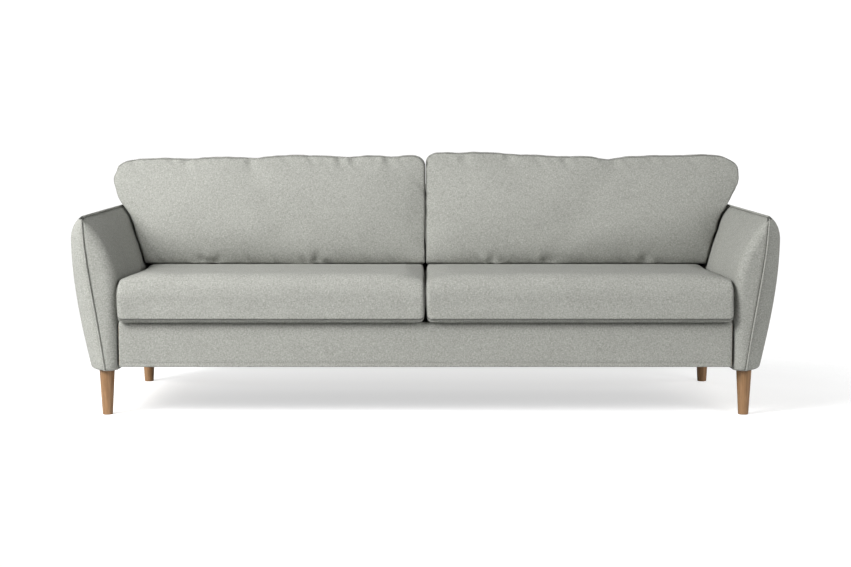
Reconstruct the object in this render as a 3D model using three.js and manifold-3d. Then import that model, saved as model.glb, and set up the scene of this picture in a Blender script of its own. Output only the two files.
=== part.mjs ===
// A three-seat sofa: flared arms with a piped edge, two loose seat cushions, two loose back cushions
// and turned oak legs. Millimetres, +Z up. The front faces -Y, and the origin is on the floor under
// the middle of the sofa. "Left" is -X, as seen by someone who faces the sofa. The arms bolt to the
// seat frame and to the back frame, and each leg screws into an insert in the arm above it.
import * as THREE from "three";
import { mergeVertices } from "three/addons/utils/BufferGeometryUtils.js";
import Module from "manifold-3d";

// ---- Overall sizes ----
const overallWidth = 2360; // across the widest part of both arms
const overallDepth = 930; // front of the seat cushions to the top edge of the back panel
const legHeight = 150; // floor to the underside of the arms
const armHeight = 656; // floor to the arm's ridge, at the front
const backHeight = 750; // floor to the top of the upholstered back
const cushionTop = 865; // floor to the top of the back cushions

// ---- Clearances ----
const jointGap = 0.4; // between faces that are glued, stapled or stacked
const boltGap = 0.5; // round a bolt or an insert, on the radius
const cushionGap = 2; // round a loose cushion
const frameGap = 3; // between the seat or back frame and the arms' upholstery
const panelGap = 7; // the open shadow line at each end of the front panel

// ---- Arms ----
const armWidest = 170; // inner face to the widest point of the outer face
const armFoot = 108; // inner face to outer face at the underside
const ridgeOffset = 110; // inner face to the ridge, where inner and outer panels meet
const seamFoot = 42; // inner face to the same seam at the underside
const seamBow = 0.11; // how far the front seam bows outwards, as a share of its run
const shoulder = 81; // height of the rounded shoulder under the ridge
const flareStart = 248; // height above the underside up to which the inner face is upright
const flarePower = 2.2; // how late the flare turns outwards
const ridgeRise = 24; // how much higher the ridge is at the rear
const armPad = 18; // foam and fabric on the arm frame
const armTopPad = 26; // the same above its top rail
const armTopRailDrop = 71; // ridge to the underside of the top rail
const noseDepth = 130; // how far behind the front the outer face reaches its full width
const noseStart = 28; // degrees that the outer panel is already turned at the seam
const innerRound = 36; // radius between the front and the inner face
const rearRound = 40; // radius between the outer face and the rear
const footRound = 8; // rounding round the underside
const cushionOverhang = 25; // how far the seat cushions stand in front of the arms
const pipingRadius = 3;

// ---- Timber, steel and boards ----
const railThick = 30;
const railHeight = 132; // seat frame rails
const centreRailDrop = 30; // the centre rail stays this far below the webbing
const armRailHeight = 45;
const armPostWidth = 70;
const backPostWidth = 45;
const backRailHeight = 60;
const panelBoard = 8; // board and fabric that close the rear of the back
const boltRadius = 4;
const boltHeadRadius = 7.5;
const boltHeadHeight = 5.5;
const armBoltReach = 55; // thread beyond the arm's inner face
const armBoltLift = 22; // top of the back's bottom rail to the bolts that hold the arms
const armBoltSetback = 72; // front of the arm to the front bolt
const washerSpace = 0.6; // under a bolt head

// ---- Legs ----
const legTopRadius = 25;
const legBottomRadius = 17;
const legChamfer = 1.5;
const legInset = 45; // inner face of the arm to the leg's centre
const legFrontSetback = 55; // front of the arm to the front leg's centre
const legRearSetback = 34; // rear of the arm to the rear leg's centre
const hangerBoltReach = 40; // into the leg, and the same into the rail
const insertRadius = 6.5;
const insertLength = 25;

// ---- Seat and back ----
const seatFrameLift = 18; // underside of the arms to the underside of the seat frame
const panelPad = 15; // foam and fabric on the front rail
const panelHem = 5; // how far the front panel reaches below the seat frame
const panelTuck = 22; // how far the front panel turns in over and under the front rail
const dustThick = 2;
const webbingCount = 6;
const webbingWidth = 70;
const webbingThick = 2;
const webbingInset = 7; // rear edge of the front panel's tuck to the webbing's end
const deckThick = 9.7;
const leanDegrees = 4.7; // the back leans this far behind upright
const backThick = 110;
const backPad = 20; // foam and fabric on the back frame
const backReach = 65; // how far the back above the arms stands outside their inner faces
const backCorner = 60; // radius of the back's top corners
const backEdge = 22; // rounding along the front edge of the back
const sharpEdge = 0.5; // the same on timber and board

// ---- Cushions ----
const seatCushionThick = 148;
const seatCushionCorner = 40; // corner radius in plan
const cushionEdge = 30; // edge rounding of every cushion
const backCushionFoot = 240; // thickness of a back cushion at its bottom
const backCushionHead = 152; // and at its top
const earReach = 132; // how far a back cushion's ear stands outside the arms' inner faces
const earHeight = 95; // top of a back cushion to the widest point of its ear
const earBreadth = 59; // how far the ear's rounding reaches in from its widest point
const backCushionCorner = 45; // radius of the other corners
const coverThick = 12; // cover fabric with its wadding
const coreGap = 1; // between the cover's wadding and the core
const zipLength = 700;
const zipWidth = 5;

// ---- Places that follow from the sizes above ----
const innerX = overallWidth / 2 - armWidest;
const frontY = -overallDepth / 2 + cushionOverhang;
const backSlope = Math.tan(THREE.MathUtils.degToRad(leanDegrees));
const seatFrameBottom = legHeight + seatFrameLift;
const seatFrameTop = seatFrameBottom + railHeight;
const webbingBottom = seatFrameTop + jointGap;
const deckBottom = webbingBottom + webbingThick + jointGap;
const deckTop = deckBottom + deckThick;
const seatCushionBottom = deckTop + jointGap;
const seatCushionTop = seatCushionBottom + seatCushionThick;
const backCushionBottom = seatCushionTop + cushionGap;
const frontRailFront = frontY + panelPad + jointGap;
const frontRailRear = frontRailFront + railThick;
const railHalf = innerX - frameGap;
const panelHalf = innerX - panelGap;
const seatFrameRear = backFrontY(seatFrameBottom) - jointGap;
const betweenRails = [frontRailRear + jointGap, seatFrameRear - railThick - jointGap];
const tuckRear = frontY + panelTuck;
const backPostHeights = [
  seatFrameBottom + backRailHeight + jointGap,
  backHeight - backPad - backRailHeight - 2 * jointGap,
];
const legX = innerX + legInset;
const legFrontY = frontY + legFrontSetback;
const legRearY = rearY(legHeight) - legRearSetback;
const armRailTop = legHeight + armRailHeight;
const armTop = armHeight + ridgeRise;
const armTopRailBottom = armHeight - armTopRailDrop;
const insertBottom = legHeight + jointGap;
const insertTop = insertBottom + insertLength;
const armBoltHeight = seatFrameBottom + backRailHeight + armBoltLift;
const frontBoltY = frontY + armBoltSetback;
const rearBoltY = rearY(armBoltHeight) - armPad - armPostWidth / 2;

// The rear face of the sofa and the front face of its back, both leaning.
function rearY(z) {
  return overallDepth / 2 - backSlope * (backHeight - z);
}
function backFrontY(z) {
  return rearY(z) - backThick;
}

// ---- Materials ----
function finish(color, roughness, metalness = 0) {
  return new THREE.MeshStandardMaterial({ color, roughness, metalness });
}
const fabric = finish(0xb5b6af, 0.95);
const foam = finish(0xe8e2cf, 0.9);
const oak = finish(0xb98a5c, 0.5);
const pine = finish(0xd9bb8c, 0.7);
const steel = finish(0xb8bcc0, 0.35, 1);
const strap = finish(0x2f2f31, 0.85);
const blackCloth = finish(0x1c1c1d, 0.95);

// ---- Solids ----
const wasm = await Module();
wasm.setup();

function solidOf(geometry) {
  const bare = geometry.index ? geometry.toNonIndexed() : geometry.clone();
  bare.deleteAttribute("normal");
  bare.deleteAttribute("uv");
  const merged = mergeVertices(bare, 1e-3);
  const mesh = new wasm.Mesh({
    numProp: 3,
    vertProperties: merged.attributes.position.array,
    triVerts: new Uint32Array(merged.index.array),
  });
  return new wasm.Manifold(mesh);
}

function geometryOf(solid) {
  const mesh = solid.getMesh();
  const geometry = new THREE.BufferGeometry();
  geometry.setAttribute("position", new THREE.BufferAttribute(new Float32Array(mesh.vertProperties), 3));
  geometry.setIndex(new THREE.BufferAttribute(new Uint32Array(mesh.triVerts), 1));
  geometry.computeVertexNormals();
  return geometry;
}

function cut(geometry, ...tools) {
  return geometryOf(tools.reduce((left, tool) => left.subtract(solidOf(tool)), solidOf(geometry)));
}
function common(a, b) {
  return geometryOf(solidOf(a).intersect(solidOf(b)));
}
function joined(a, b) {
  return geometryOf(solidOf(a).add(solidOf(b)));
}

function block([x0, x1], [y0, y1], [z0, z1]) {
  const geometry = new THREE.BoxGeometry(x1 - x0, y1 - y0, z1 - z0);
  return geometry.translate((x0 + x1) / 2, (y0 + y1) / 2, (z0 + z1) / 2);
}

function uprightRod(radius, x, y, [z0, z1], sides = 12) {
  const geometry = new THREE.CylinderGeometry(radius, radius, z1 - z0, sides).rotateX(Math.PI / 2);
  return geometry.translate(x, y, (z0 + z1) / 2);
}

function crossRod(radius, [x0, x1], y, z, sides = 12) {
  const geometry = new THREE.CylinderGeometry(radius, radius, x1 - x0, sides).rotateZ(Math.PI / 2);
  return geometry.translate((x0 + x1) / 2, y, z);
}

// A closed solid through rings of the same number of points. Seen from the last ring's side, each ring
// runs counter-clockwise.
function loft(rings) {
  const count = rings[0].length;
  const points = rings.flat();
  const index = [];
  for (let level = 0; level + 1 < rings.length; level++) {
    for (let i = 0; i < count; i++) {
      const a = level * count + i;
      const b = level * count + ((i + 1) % count);
      index.push(a, b, b + count, a, b + count, a + count);
    }
  }
  const addCap = (start, flipped) => {
    const ring = points.slice(start, start + count);
    const middle = points.push(average(ring)) - 1;
    for (let i = 0; i < count; i++) {
      const edge = [start + i, start + ((i + 1) % count)];
      index.push(middle, ...(flipped ? edge.reverse() : edge));
    }
  };
  addCap(0, true);
  addCap((rings.length - 1) * count, false);
  return new THREE.BufferGeometry().setFromPoints(points).setIndex(index).toNonIndexed();
}

function average(points) {
  return points.reduce((sum, p) => sum.add(p), new THREE.Vector3()).divideScalar(points.length);
}

// A closed outline moved inwards by a distance. Outlines are counter-clockwise.
function insetOutline(outline, distance) {
  return outline.map((point, i) => {
    const before = outline.at(i - 1);
    const after = outline[(i + 1) % outline.length];
    const edgeIn = point.clone().sub(before).normalize();
    const edgeOut = after.clone().sub(point).normalize();
    const inward = new THREE.Vector2(-edgeIn.y - edgeOut.y, edgeIn.x + edgeOut.x).normalize();
    const mitre = Math.max(0.5, inward.dot(new THREE.Vector2(-edgeIn.y, edgeIn.x)));
    return point.clone().addScaledVector(inward, distance / mitre);
  });
}

// Points along an ellipse, from one angle to another in degrees.
function arc(cx, cy, rx, ry, from, to, steps) {
  return Array.from({ length: steps + 1 }, (_, i) => {
    const angle = THREE.MathUtils.degToRad(from + ((to - from) * i) / steps);
    return new THREE.Vector2(cx + rx * Math.cos(angle), cy + ry * Math.sin(angle));
  });
}

// A rounded edge in steps: how far in from the outline and how far along the thickness, in radii.
const roundSteps = [0, 30, 60, 90].map((a) => {
  const angle = THREE.MathUtils.degToRad(a);
  return { inset: 1 - Math.sin(angle), along: 1 - Math.cos(angle) };
});

// A soft block: an outline given a thickness from 0 to 1 by place(point, share), both rims rounded.
function pillow(outline, radius, thickness, place) {
  const lower = roundSteps.map(({ inset, along }) => [inset * radius, (along * radius) / thickness]);
  const upper = lower.map(([inset, share]) => [inset, 1 - share]).reverse();
  return loft(
    [...lower, ...upper].map(([inset, share]) => insetOutline(outline, inset).map((p) => place(p, share))),
  );
}

// ---- The object, piece by piece ----
const sofa = new THREE.Group();

function add(group, name, geometry, material) {
  const mesh = new THREE.Mesh(geometry, material);
  mesh.name = name;
  group.add(mesh);
}

// ---- Arm surfaces, for the right arm. Heights are those at its front ----
const shoulderZ = armHeight - shoulder;
const shoulderTurns = [25, 45, 62, 78].map((a) => Math.sin(THREE.MathUtils.degToRad(a)));
const armCrown = shoulderZ + shoulder * shoulderTurns.at(-1);
const ridgeX = innerX + ridgeOffset;
const flareZ = legHeight + flareStart;

function armLevel(share) {
  return legHeight + share * (armHeight - legHeight);
}

function innerFace(z) {
  const share = Math.max(0, (z - flareZ) / (armHeight - flareZ));
  return innerX + ridgeOffset * share ** flarePower;
}

function outerFace(z) {
  const widest = innerX + armWidest;
  if (z <= shoulderZ) {
    const share = Math.max(0, (z - legHeight) / (shoulderZ - legHeight));
    return innerX + armFoot + (armWidest - armFoot) * Math.sin((share * Math.PI) / 2);
  }
  return ridgeX + (widest - ridgeX) * Math.sqrt(Math.max(0, 1 - ((z - shoulderZ) / shoulder) ** 2));
}

function seamLine(z) {
  const share = (z - legHeight) / (armHeight - legHeight);
  const bowed = share + seamBow * Math.sin(Math.PI * share ** 2);
  return innerX + seamFoot + (ridgeOffset - seamFoot) * bowed;
}

// The arm grows taller towards the rear: lift() carries a height at the front to the same level at y,
// and unlift() carries it back.
function growth(y) {
  const back = (y - frontY) / (rearY(armHeight) - frontY);
  return 1 + (ridgeRise * back) / (armHeight - legHeight);
}
function lift(y, z) {
  return legHeight + (z - legHeight) * growth(y);
}
function unlift(y, z) {
  return legHeight + (z - legHeight) / growth(y);
}

// How far out a piece of the back may reach at a height, beside the arm's rear end.
function besideArm(z) {
  return innerFace(unlift(rearY(z), z)) - frameGap;
}

// One horizontal ring of the arm, moved inwards by inset.
function armRing(z, inset) {
  const inner = innerFace(z) + inset;
  const outer = outerFace(z) - inset;
  const seam = THREE.MathUtils.clamp(seamLine(z), inner + 2, outer - 2);
  const front = frontY + inset;
  const rear = rearY(z) - inset;
  const roundX = Math.min(innerRound, 0.8 * (seam - inner));
  const corner = Math.min(rearRound, 0.6 * (outer - inner));
  const turned = THREE.MathUtils.degToRad(noseStart);
  const nose = [1, 2, 3, 4, 5].map((i) => {
    const angle = turned + (i / 5) * (Math.PI / 2 - turned);
    const out = (Math.sin(angle) - Math.sin(turned)) / (1 - Math.sin(turned));
    const back = (Math.cos(turned) - Math.cos(angle)) / Math.cos(turned);
    return new THREE.Vector2(seam + (outer - seam) * out, front + noseDepth * back);
  });
  const outline = [
    new THREE.Vector2(inner, rear),
    ...arc(inner + roundX, front + innerRound, roundX, innerRound, 180, 270, 3),
    new THREE.Vector2(seam, front),
    ...nose,
    ...arc(outer - corner, rear - corner, corner, corner, 0, 90, 2),
  ];
  return outline.map((p) => new THREE.Vector3(p.x, p.y, lift(p.y, z)));
}

// The whole arm: rounded round its underside, flared, and closing to the ridge.
function armBody() {
  const base = armRing(legHeight, footRound / 2).map((p) => p.setZ(legHeight));
  const lower = [legHeight + footRound, ...[0.2, 0.4, 0.52, 0.61, 0.71].map(armLevel), shoulderZ];
  const upper = shoulderTurns.map((turn) => shoulderZ + shoulder * turn);
  return loft([base, ...[...lower, ...upper].map((z) => armRing(z, 0))]);
}

// The space inside the upholstery, open below and closed above the top rail, less a clearance.
function armHollow(clearance) {
  const top = armHeight - armTopPad - clearance;
  const levels = [legHeight - footRound, flareZ, (flareZ + shoulderZ) / 2, shoulderZ, top];
  return loft(levels.map((z) => armRing(z, armPad + clearance)));
}

// Everything outside the seam between the inner and the outer panel, moved outwards by an offset.
function outsideSeam(offset) {
  const far = innerX + 2 * armWidest;
  const levels = [-0.05, 0.2, 0.4, 0.6, 0.8, 0.9, 1, 1.1].map(armLevel);
  const edge = levels.map((z) => [seamLine(Math.min(z, armHeight)) + offset, z]);
  const outline = [[far, levels.at(-1)], ...edge.reverse(), [far, levels[0]]];
  const ends = [overallDepth, -overallDepth];
  return loft(ends.map((y) => outline.map(([x, z]) => new THREE.Vector3(x, y, lift(y, z)))));
}

// The route of the piping: up the front seam, round onto the ridge, back along it, and down the rear.
function pipingRoute() {
  const stand = pipingRadius + jointGap;
  const heights = [0, 0.22, 0.43, 0.65, 0.85].map(armLevel);
  const quarter = [0, 30, 60, 90].map((a) => THREE.MathUtils.degToRad(a));
  const front = heights.map((z) => new THREE.Vector3(seamLine(z), frontY - stand, z));
  const frontTurn = quarter.map(
    (a) => new THREE.Vector3(ridgeX, frontY - stand * Math.cos(a), armCrown + stand * Math.sin(a)),
  );
  const rearEnd = rearY(armCrown);
  const rearTop = lift(rearEnd, armCrown);
  const rearTurn = quarter.map(
    (a) => new THREE.Vector3(ridgeX, rearEnd + stand * Math.sin(a), rearTop + stand * Math.cos(a)),
  );
  const rear = heights.map((z) => new THREE.Vector3(seamLine(z), rearY(z) + stand, lift(rearY(z), z)));
  return [...front, ...frontTurn, ...rearTurn, ...rear.reverse()];
}

// A round cord through points that lie near a plane across X.
function cordThrough(points, radius, sides) {
  const sideways = new THREE.Vector3(1, 0, 0);
  const rings = points.map((point, i) => {
    const before = points[Math.max(0, i - 1)];
    const after = points[Math.min(points.length - 1, i + 1)];
    const along = after.clone().sub(before).normalize();
    const u = sideways.clone().addScaledVector(along, -sideways.dot(along)).normalize();
    const v = along.clone().cross(u);
    return arc(0, 0, radius, radius, 0, 360, sides)
      .slice(0, -1)
      .map((p) => point.clone().addScaledVector(u, p.x).addScaledVector(v, p.y));
  });
  return loft(rings);
}

// A hexagon-head bolt along X, its head on the low side of headX and its thread ending at endX.
function crossBolt(headX, endX, y, z) {
  const head = crossRod(boltHeadRadius, [headX - boltHeadHeight, headX], y, z, 6);
  return joined(head, crossRod(boltRadius, [headX - boltHeadHeight / 2, endX], y, z));
}

// The holes that these bolts pass through.
function crossHole(range, y, z) {
  return crossRod(boltRadius + boltGap, range, y, z);
}

function uprightHole(y, range) {
  return uprightRod(boltRadius + boltGap, legX, y, range);
}

function buildLeg(group, name, y) {
  const top = legHeight - jointGap;
  const profile = [
    [0, 0],
    [legBottomRadius - legChamfer, 0],
    [legBottomRadius, legChamfer],
    [legTopRadius, top],
    [0, top],
  ].map(([r, z]) => new THREE.Vector2(r, z));
  const turned = new THREE.LatheGeometry(profile, 24).rotateX(Math.PI / 2).translate(legX, y, 0);
  const bolt = [legHeight - hangerBoltReach, legHeight + hangerBoltReach];
  add(group, `leg_${name}`, cut(turned, uprightHole(y, [bolt[0] - boltGap, legHeight + boltGap])), oak);
  add(group, `hanger_bolt_${name}`, uprightRod(boltRadius, legX, y, bolt), steel);
  const sleeve = uprightRod(insertRadius, legX, y, [insertBottom, insertTop]);
  add(group, `threaded_insert_${name}`, cut(sleeve, uprightHole(y, [0, armHeight])), steel);
}

function buildArmFrame(group, side) {
  const room = armHollow(jointGap);
  const across = [innerX, innerX + armWidest];
  const along = [-overallDepth / 2, overallDepth / 2];
  const legHoles = [legFrontY, legRearY].flatMap((y) => [
    uprightRod(insertRadius + boltGap, legX, y, [0, insertTop + boltGap]),
    uprightHole(y, [0, legHeight + hangerBoltReach + boltGap]),
  ]);
  const bottomRail = common(block(across, along, [legHeight, armRailTop]), room);
  add(group, `arm_bottom_rail_${side}`, cut(bottomRail, ...legHoles), pine);
  add(group, `arm_top_rail_${side}`, common(block(across, along, [armTopRailBottom, armTop]), room), pine);

  const postHeights = [armRailTop + jointGap, armTopRailBottom - jointGap];
  const posts = {
    front: { depth: [along[0], frontY + armPad + armPostWidth], boltY: frontBoltY },
    rear: { depth: [rearY(armRailTop) - armPad - armPostWidth, along[1]], boltY: rearBoltY },
  };
  for (const [end, { depth, boltY }] of Object.entries(posts)) {
    const post = common(block(across, depth, postHeights), room);
    const hole = crossHole([innerX, innerX + armBoltReach + boltGap], boltY, armBoltHeight);
    add(group, `arm_${end}_post_${side}`, cut(post, hole), pine);
  }
}

function buildArmUpholstery(group, side) {
  const shell = cut(armBody(), armHollow(0));
  const boltHoles = [frontBoltY, rearBoltY].map((y) =>
    crossHole([innerX - frameGap, innerX + armPad + frameGap], y, armBoltHeight),
  );
  add(group, `arm_inner_pad_${side}`, cut(shell, outsideSeam(-jointGap), ...boltHoles), fabric);
  add(group, `arm_outer_pad_${side}`, common(shell, outsideSeam(0)), fabric);
  add(group, `arm_piping_${side}`, cordThrough(pipingRoute(), pipingRadius, 8), fabric);
}

function buildArmBolts(group, side) {
  const end = innerX + armBoltReach;
  const frontHead = railHalf - railThick - washerSpace;
  add(group, `arm_bolt_front_${side}`, crossBolt(frontHead, end, frontBoltY, armBoltHeight), steel);
  const rearHead = railHalf - backPad - jointGap - backPostWidth - washerSpace;
  add(group, `arm_bolt_rear_${side}`, crossBolt(rearHead, end, rearBoltY, armBoltHeight), steel);
}

// ---- Seat frame, webbing, deck and front panel ----
function buildSeatSideRail(group, side) {
  const across = [railHalf - railThick, railHalf];
  const rail = block(across, betweenRails, [seatFrameBottom, seatFrameTop]);
  const hole = crossHole([across[0] - boltGap, innerX], frontBoltY, armBoltHeight);
  add(group, `seat_side_rail_${side}`, cut(rail, hole), pine);
}

function buildSeatRails() {
  const across = [-railHalf, railHalf];
  const heights = [seatFrameBottom, seatFrameTop];
  add(sofa, "seat_front_rail", block(across, [frontRailFront, frontRailRear], heights), pine);
  add(sofa, "seat_rear_rail", block(across, [seatFrameRear - railThick, seatFrameRear], heights), pine);
  const centreHeights = [seatFrameBottom, seatFrameTop - centreRailDrop];
  const centre = block([-railThick / 2, railThick / 2], betweenRails, centreHeights);
  add(sofa, "seat_centre_rail", centre, pine);
}

// Padding and fabric over the front rail, turned in over its top and under its bottom.
function buildFrontPanel() {
  const panel = block([-panelHalf, panelHalf], [frontY, tuckRear], [seatFrameBottom - panelHem, deckTop]);
  const railSpace = block(
    [-innerX, innerX],
    [frontRailFront - jointGap, frontRailRear],
    [seatFrameBottom - jointGap, seatFrameTop + jointGap],
  );
  add(sofa, "front_panel", cut(panel, railSpace), fabric);
}

function buildWebbing() {
  const pitch = (2 * (railHalf - railThick)) / webbingCount;
  const along = [tuckRear + webbingInset, seatFrameRear - webbingInset];
  for (let i = 0; i < webbingCount; i++) {
    const x = (i + 0.5 - webbingCount / 2) * pitch;
    const across = [x - webbingWidth / 2, x + webbingWidth / 2];
    const geometry = block(across, along, [webbingBottom, webbingBottom + webbingThick]);
    add(sofa, `seat_webbing_${i + 1}`, geometry, strap);
  }
}

function buildDeckAndDustCover() {
  const front = tuckRear + jointGap;
  const deckRear = backFrontY(deckBottom) - cushionGap;
  const deck = block([-panelHalf, panelHalf], [front, deckRear], [deckBottom, deckTop]);
  add(sofa, "seat_deck", deck, fabric);
  const dustTop = seatFrameBottom - jointGap;
  const dust = block([-railHalf, railHalf], [front, seatFrameRear], [dustTop - dustThick, dustTop]);
  add(sofa, "dust_cover", dust, blackCloth);
}

// ---- Back ----
// The back's outline seen from the front, moved inwards by inset and reaching down to floor. It follows
// the arms' inner faces, then rises above them to round corners.
function backOutline(inset, floor) {
  const cornerZ = backHeight - backCorner;
  const half = Math.min(innerX + backReach, besideArm(cornerZ));
  const sideHeights = [0.49, 0.61, 0.73, 0.85, 0.93].map(armLevel).filter((z) => z < cornerZ);
  const right = [floor, ...sideHeights].map(
    (z) => new THREE.Vector2(Math.min(half, besideArm(z)) - inset, z),
  );
  right.push(...arc(half - backCorner, cornerZ, backCorner - inset, backCorner - inset, 0, 90, 4));
  const left = right.map((p) => new THREE.Vector2(-p.x, p.y)).reverse();
  return [...right, ...left];
}

// A slab with that outline, from so far behind the back's leaning front face to so far before its
// leaning rear face, its front edge rounded.
function backSlab(outline, frontInset, rearInset, edge) {
  const rear = outline.map((p) => new THREE.Vector3(p.x, rearY(p.y) - rearInset, p.y));
  const front = roundSteps.toReversed().map(({ inset, along }) => {
    const ring = insetOutline(outline, edge * inset);
    return ring.map((p) => new THREE.Vector3(p.x, backFrontY(p.y) + frontInset + edge * along, p.y));
  });
  return loft([rear, ...front]);
}

function backFramePiece(across, heights) {
  const inset = backPad + jointGap;
  const outline = backOutline(inset, seatFrameBottom);
  const room = backSlab(outline, inset, panelBoard + 2 * jointGap, sharpEdge);
  return common(room, block(across, [0, overallDepth], heights));
}

function buildBackPost(group, side) {
  const outer = railHalf - backPad - jointGap;
  const post = backFramePiece([outer - backPostWidth, innerX + armWidest], backPostHeights);
  const hole = crossHole([outer - backPostWidth - boltGap, innerX], rearBoltY, armBoltHeight);
  add(group, `back_post_${side}`, cut(post, hole), pine);
}

function buildBack() {
  const across = [-overallWidth / 2, overallWidth / 2];
  const topRail = [backPostHeights[1] + jointGap, backHeight];
  const bottomRail = [seatFrameBottom, backPostHeights[0] - jointGap];
  add(sofa, "back_top_rail", backFramePiece(across, topRail), pine);
  add(sofa, "back_bottom_rail", backFramePiece(across, bottomRail), pine);
  const centre = backFramePiece([-backPostWidth / 2, backPostWidth / 2], backPostHeights);
  add(sofa, "back_centre_post", centre, pine);

  const outline = backOutline(0, seatFrameBottom);
  const cover = backSlab(outline, 0, panelBoard + jointGap, backEdge);
  const hollow = backSlab(backOutline(backPad, seatFrameBottom - backPad), backPad, 0, sharpEdge);
  const boltHoles = [
    crossHole([railHalf - 2 * backPad, innerX], rearBoltY, armBoltHeight),
    crossHole([-innerX, 2 * backPad - railHalf], rearBoltY, armBoltHeight),
  ];
  add(sofa, "back_cover", cut(cover, hollow, ...boltHoles), fabric);
  add(sofa, "back_panel", backSlab(outline, backThick - panelBoard, 0, sharpEdge), fabric);
}

// ---- Cushions ----
// A cushion is a cover with its wadding and a core inside it. The cover opens along a zip, through zipAxis.
function buildCushion(group, name, outline, thickness, place, zipCentre, zipAxis) {
  const layer = (inset) => {
    const share = inset / thickness;
    const placeInside = (p, s) => place(p, share + s * (1 - 2 * share));
    return pillow(insetOutline(outline, inset), cushionEdge - inset, thickness - 2 * inset, placeInside);
  };
  const zipSize = new THREE.Vector3(zipLength, zipWidth, zipWidth);
  zipSize[zipAxis] = 2 * coverThick + 2 * coreGap;
  const zip = new THREE.BoxGeometry(...zipSize).translate(...zipCentre);
  add(group, `${name}_cover`, cut(layer(0), layer(coverThick), zip), fabric);
  add(group, `${name}_core`, layer(coverThick + coreGap), foam);
}

function buildSeatCushion(group, side) {
  const inner = cushionGap / 2;
  const outer = innerX - cushionGap;
  const front = -overallDepth / 2;
  const rear = backFrontY(seatCushionBottom) - cushionGap;
  const r = seatCushionCorner;
  const outline = [
    ...arc(outer - r, rear - r, r, r, 0, 90, 3),
    ...arc(inner + r, rear - r, r, r, 90, 180, 3),
    ...arc(inner + r, front + r, r, r, 180, 270, 3),
    ...arc(outer - r, front + r, r, r, 270, 360, 3),
  ];
  const place = (p, share) => new THREE.Vector3(p.x, p.y, seatCushionBottom + share * seatCushionThick);
  const zip = new THREE.Vector3((inner + outer) / 2, rear, seatCushionBottom + seatCushionThick / 2);
  buildCushion(group, `seat_cushion_${side}`, outline, seatCushionThick, place, zip, "y");
}

// Seen from the front: a straight inner side, an outer side that follows the arm, and an ear above the arm.
function backCushionOutline() {
  const inner = cushionGap;
  const outer = innerX - cushionGap;
  const r = backCushionCorner;
  const bottom = backCushionBottom;
  const clearOfArm = (z) => besideArm(z) - cushionGap;
  const earZ = cushionTop - earHeight;
  const earX = Math.min(innerX + earReach, clearOfArm(earZ));
  const besideTop = Math.min(armTop, earZ) - earHeight / 2;
  const armSide = [0.2, 0.6, 1].map((share) => {
    const z = THREE.MathUtils.lerp(bottom + r, besideTop, share);
    return new THREE.Vector2(Math.min(clearOfArm(z), earX), z);
  });
  return [
    ...arc(outer - r, bottom + r, r, r, 270, 360, 3),
    ...armSide,
    ...arc(earX - earBreadth, earZ, earBreadth, earHeight, 0, 90, 5),
    ...arc(inner + r, cushionTop - r, r, r, 90, 180, 4),
    ...arc(inner + r, bottom + r, r, r, 180, 270, 3),
  ];
}

function buildBackCushion(group, side) {
  const bottom = backCushionBottom;
  const thicknessAt = (z) =>
    THREE.MathUtils.mapLinear(z, bottom, cushionTop, backCushionFoot, backCushionHead);
  const place = (p, share) => {
    const y = backFrontY(p.y) - cushionGap - share * thicknessAt(p.y);
    return new THREE.Vector3(p.x, y, p.y);
  };
  const zip = place(new THREE.Vector2(innerX / 2, bottom), 0.5);
  const thickness = (backCushionFoot + backCushionHead) / 2;
  buildCushion(group, `back_cushion_${side}`, backCushionOutline(), thickness, place, zip, "z");
}

// ---- Assembly: both sides are the same, mirrored ----
for (const [side, mirror] of [
  ["right", 1],
  ["left", -1],
]) {
  const group = new THREE.Group();
  group.scale.x = mirror;
  sofa.add(group);
  buildLeg(group, `front_${side}`, legFrontY);
  buildLeg(group, `rear_${side}`, legRearY);
  buildArmFrame(group, side);
  buildArmUpholstery(group, side);
  buildArmBolts(group, side);
  buildSeatSideRail(group, side);
  buildBackPost(group, side);
  buildSeatCushion(group, side);
  buildBackCushion(group, side);
}
buildSeatRails();
buildFrontPanel();
buildWebbing();
buildDeckAndDustCover();
buildBack();

export default sofa;
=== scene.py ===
"""The looks of the three-seat sofa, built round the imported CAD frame. Metres, the frame's own axes:
+Z up, the front faces -Y, the origin on the floor under the middle."""

import math

import bmesh
import bpy
import numpy as np
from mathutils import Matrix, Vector
from mathutils.kdtree import KDTree


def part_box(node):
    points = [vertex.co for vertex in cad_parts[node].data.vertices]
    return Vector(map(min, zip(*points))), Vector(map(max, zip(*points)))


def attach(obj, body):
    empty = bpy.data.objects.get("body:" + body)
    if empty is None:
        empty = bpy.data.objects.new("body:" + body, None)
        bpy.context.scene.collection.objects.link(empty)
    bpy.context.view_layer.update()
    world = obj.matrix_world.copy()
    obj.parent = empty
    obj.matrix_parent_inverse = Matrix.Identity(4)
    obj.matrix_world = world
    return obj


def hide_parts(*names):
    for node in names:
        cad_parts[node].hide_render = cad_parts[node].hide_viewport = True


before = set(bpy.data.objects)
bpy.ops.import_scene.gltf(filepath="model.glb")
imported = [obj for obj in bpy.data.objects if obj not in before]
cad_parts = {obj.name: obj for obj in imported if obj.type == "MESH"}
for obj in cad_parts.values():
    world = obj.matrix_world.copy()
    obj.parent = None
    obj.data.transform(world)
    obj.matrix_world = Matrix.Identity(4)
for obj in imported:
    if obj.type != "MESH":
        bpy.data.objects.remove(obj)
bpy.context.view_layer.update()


def box(node):
    low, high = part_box(node)
    return np.array(low), np.array(high)


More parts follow.
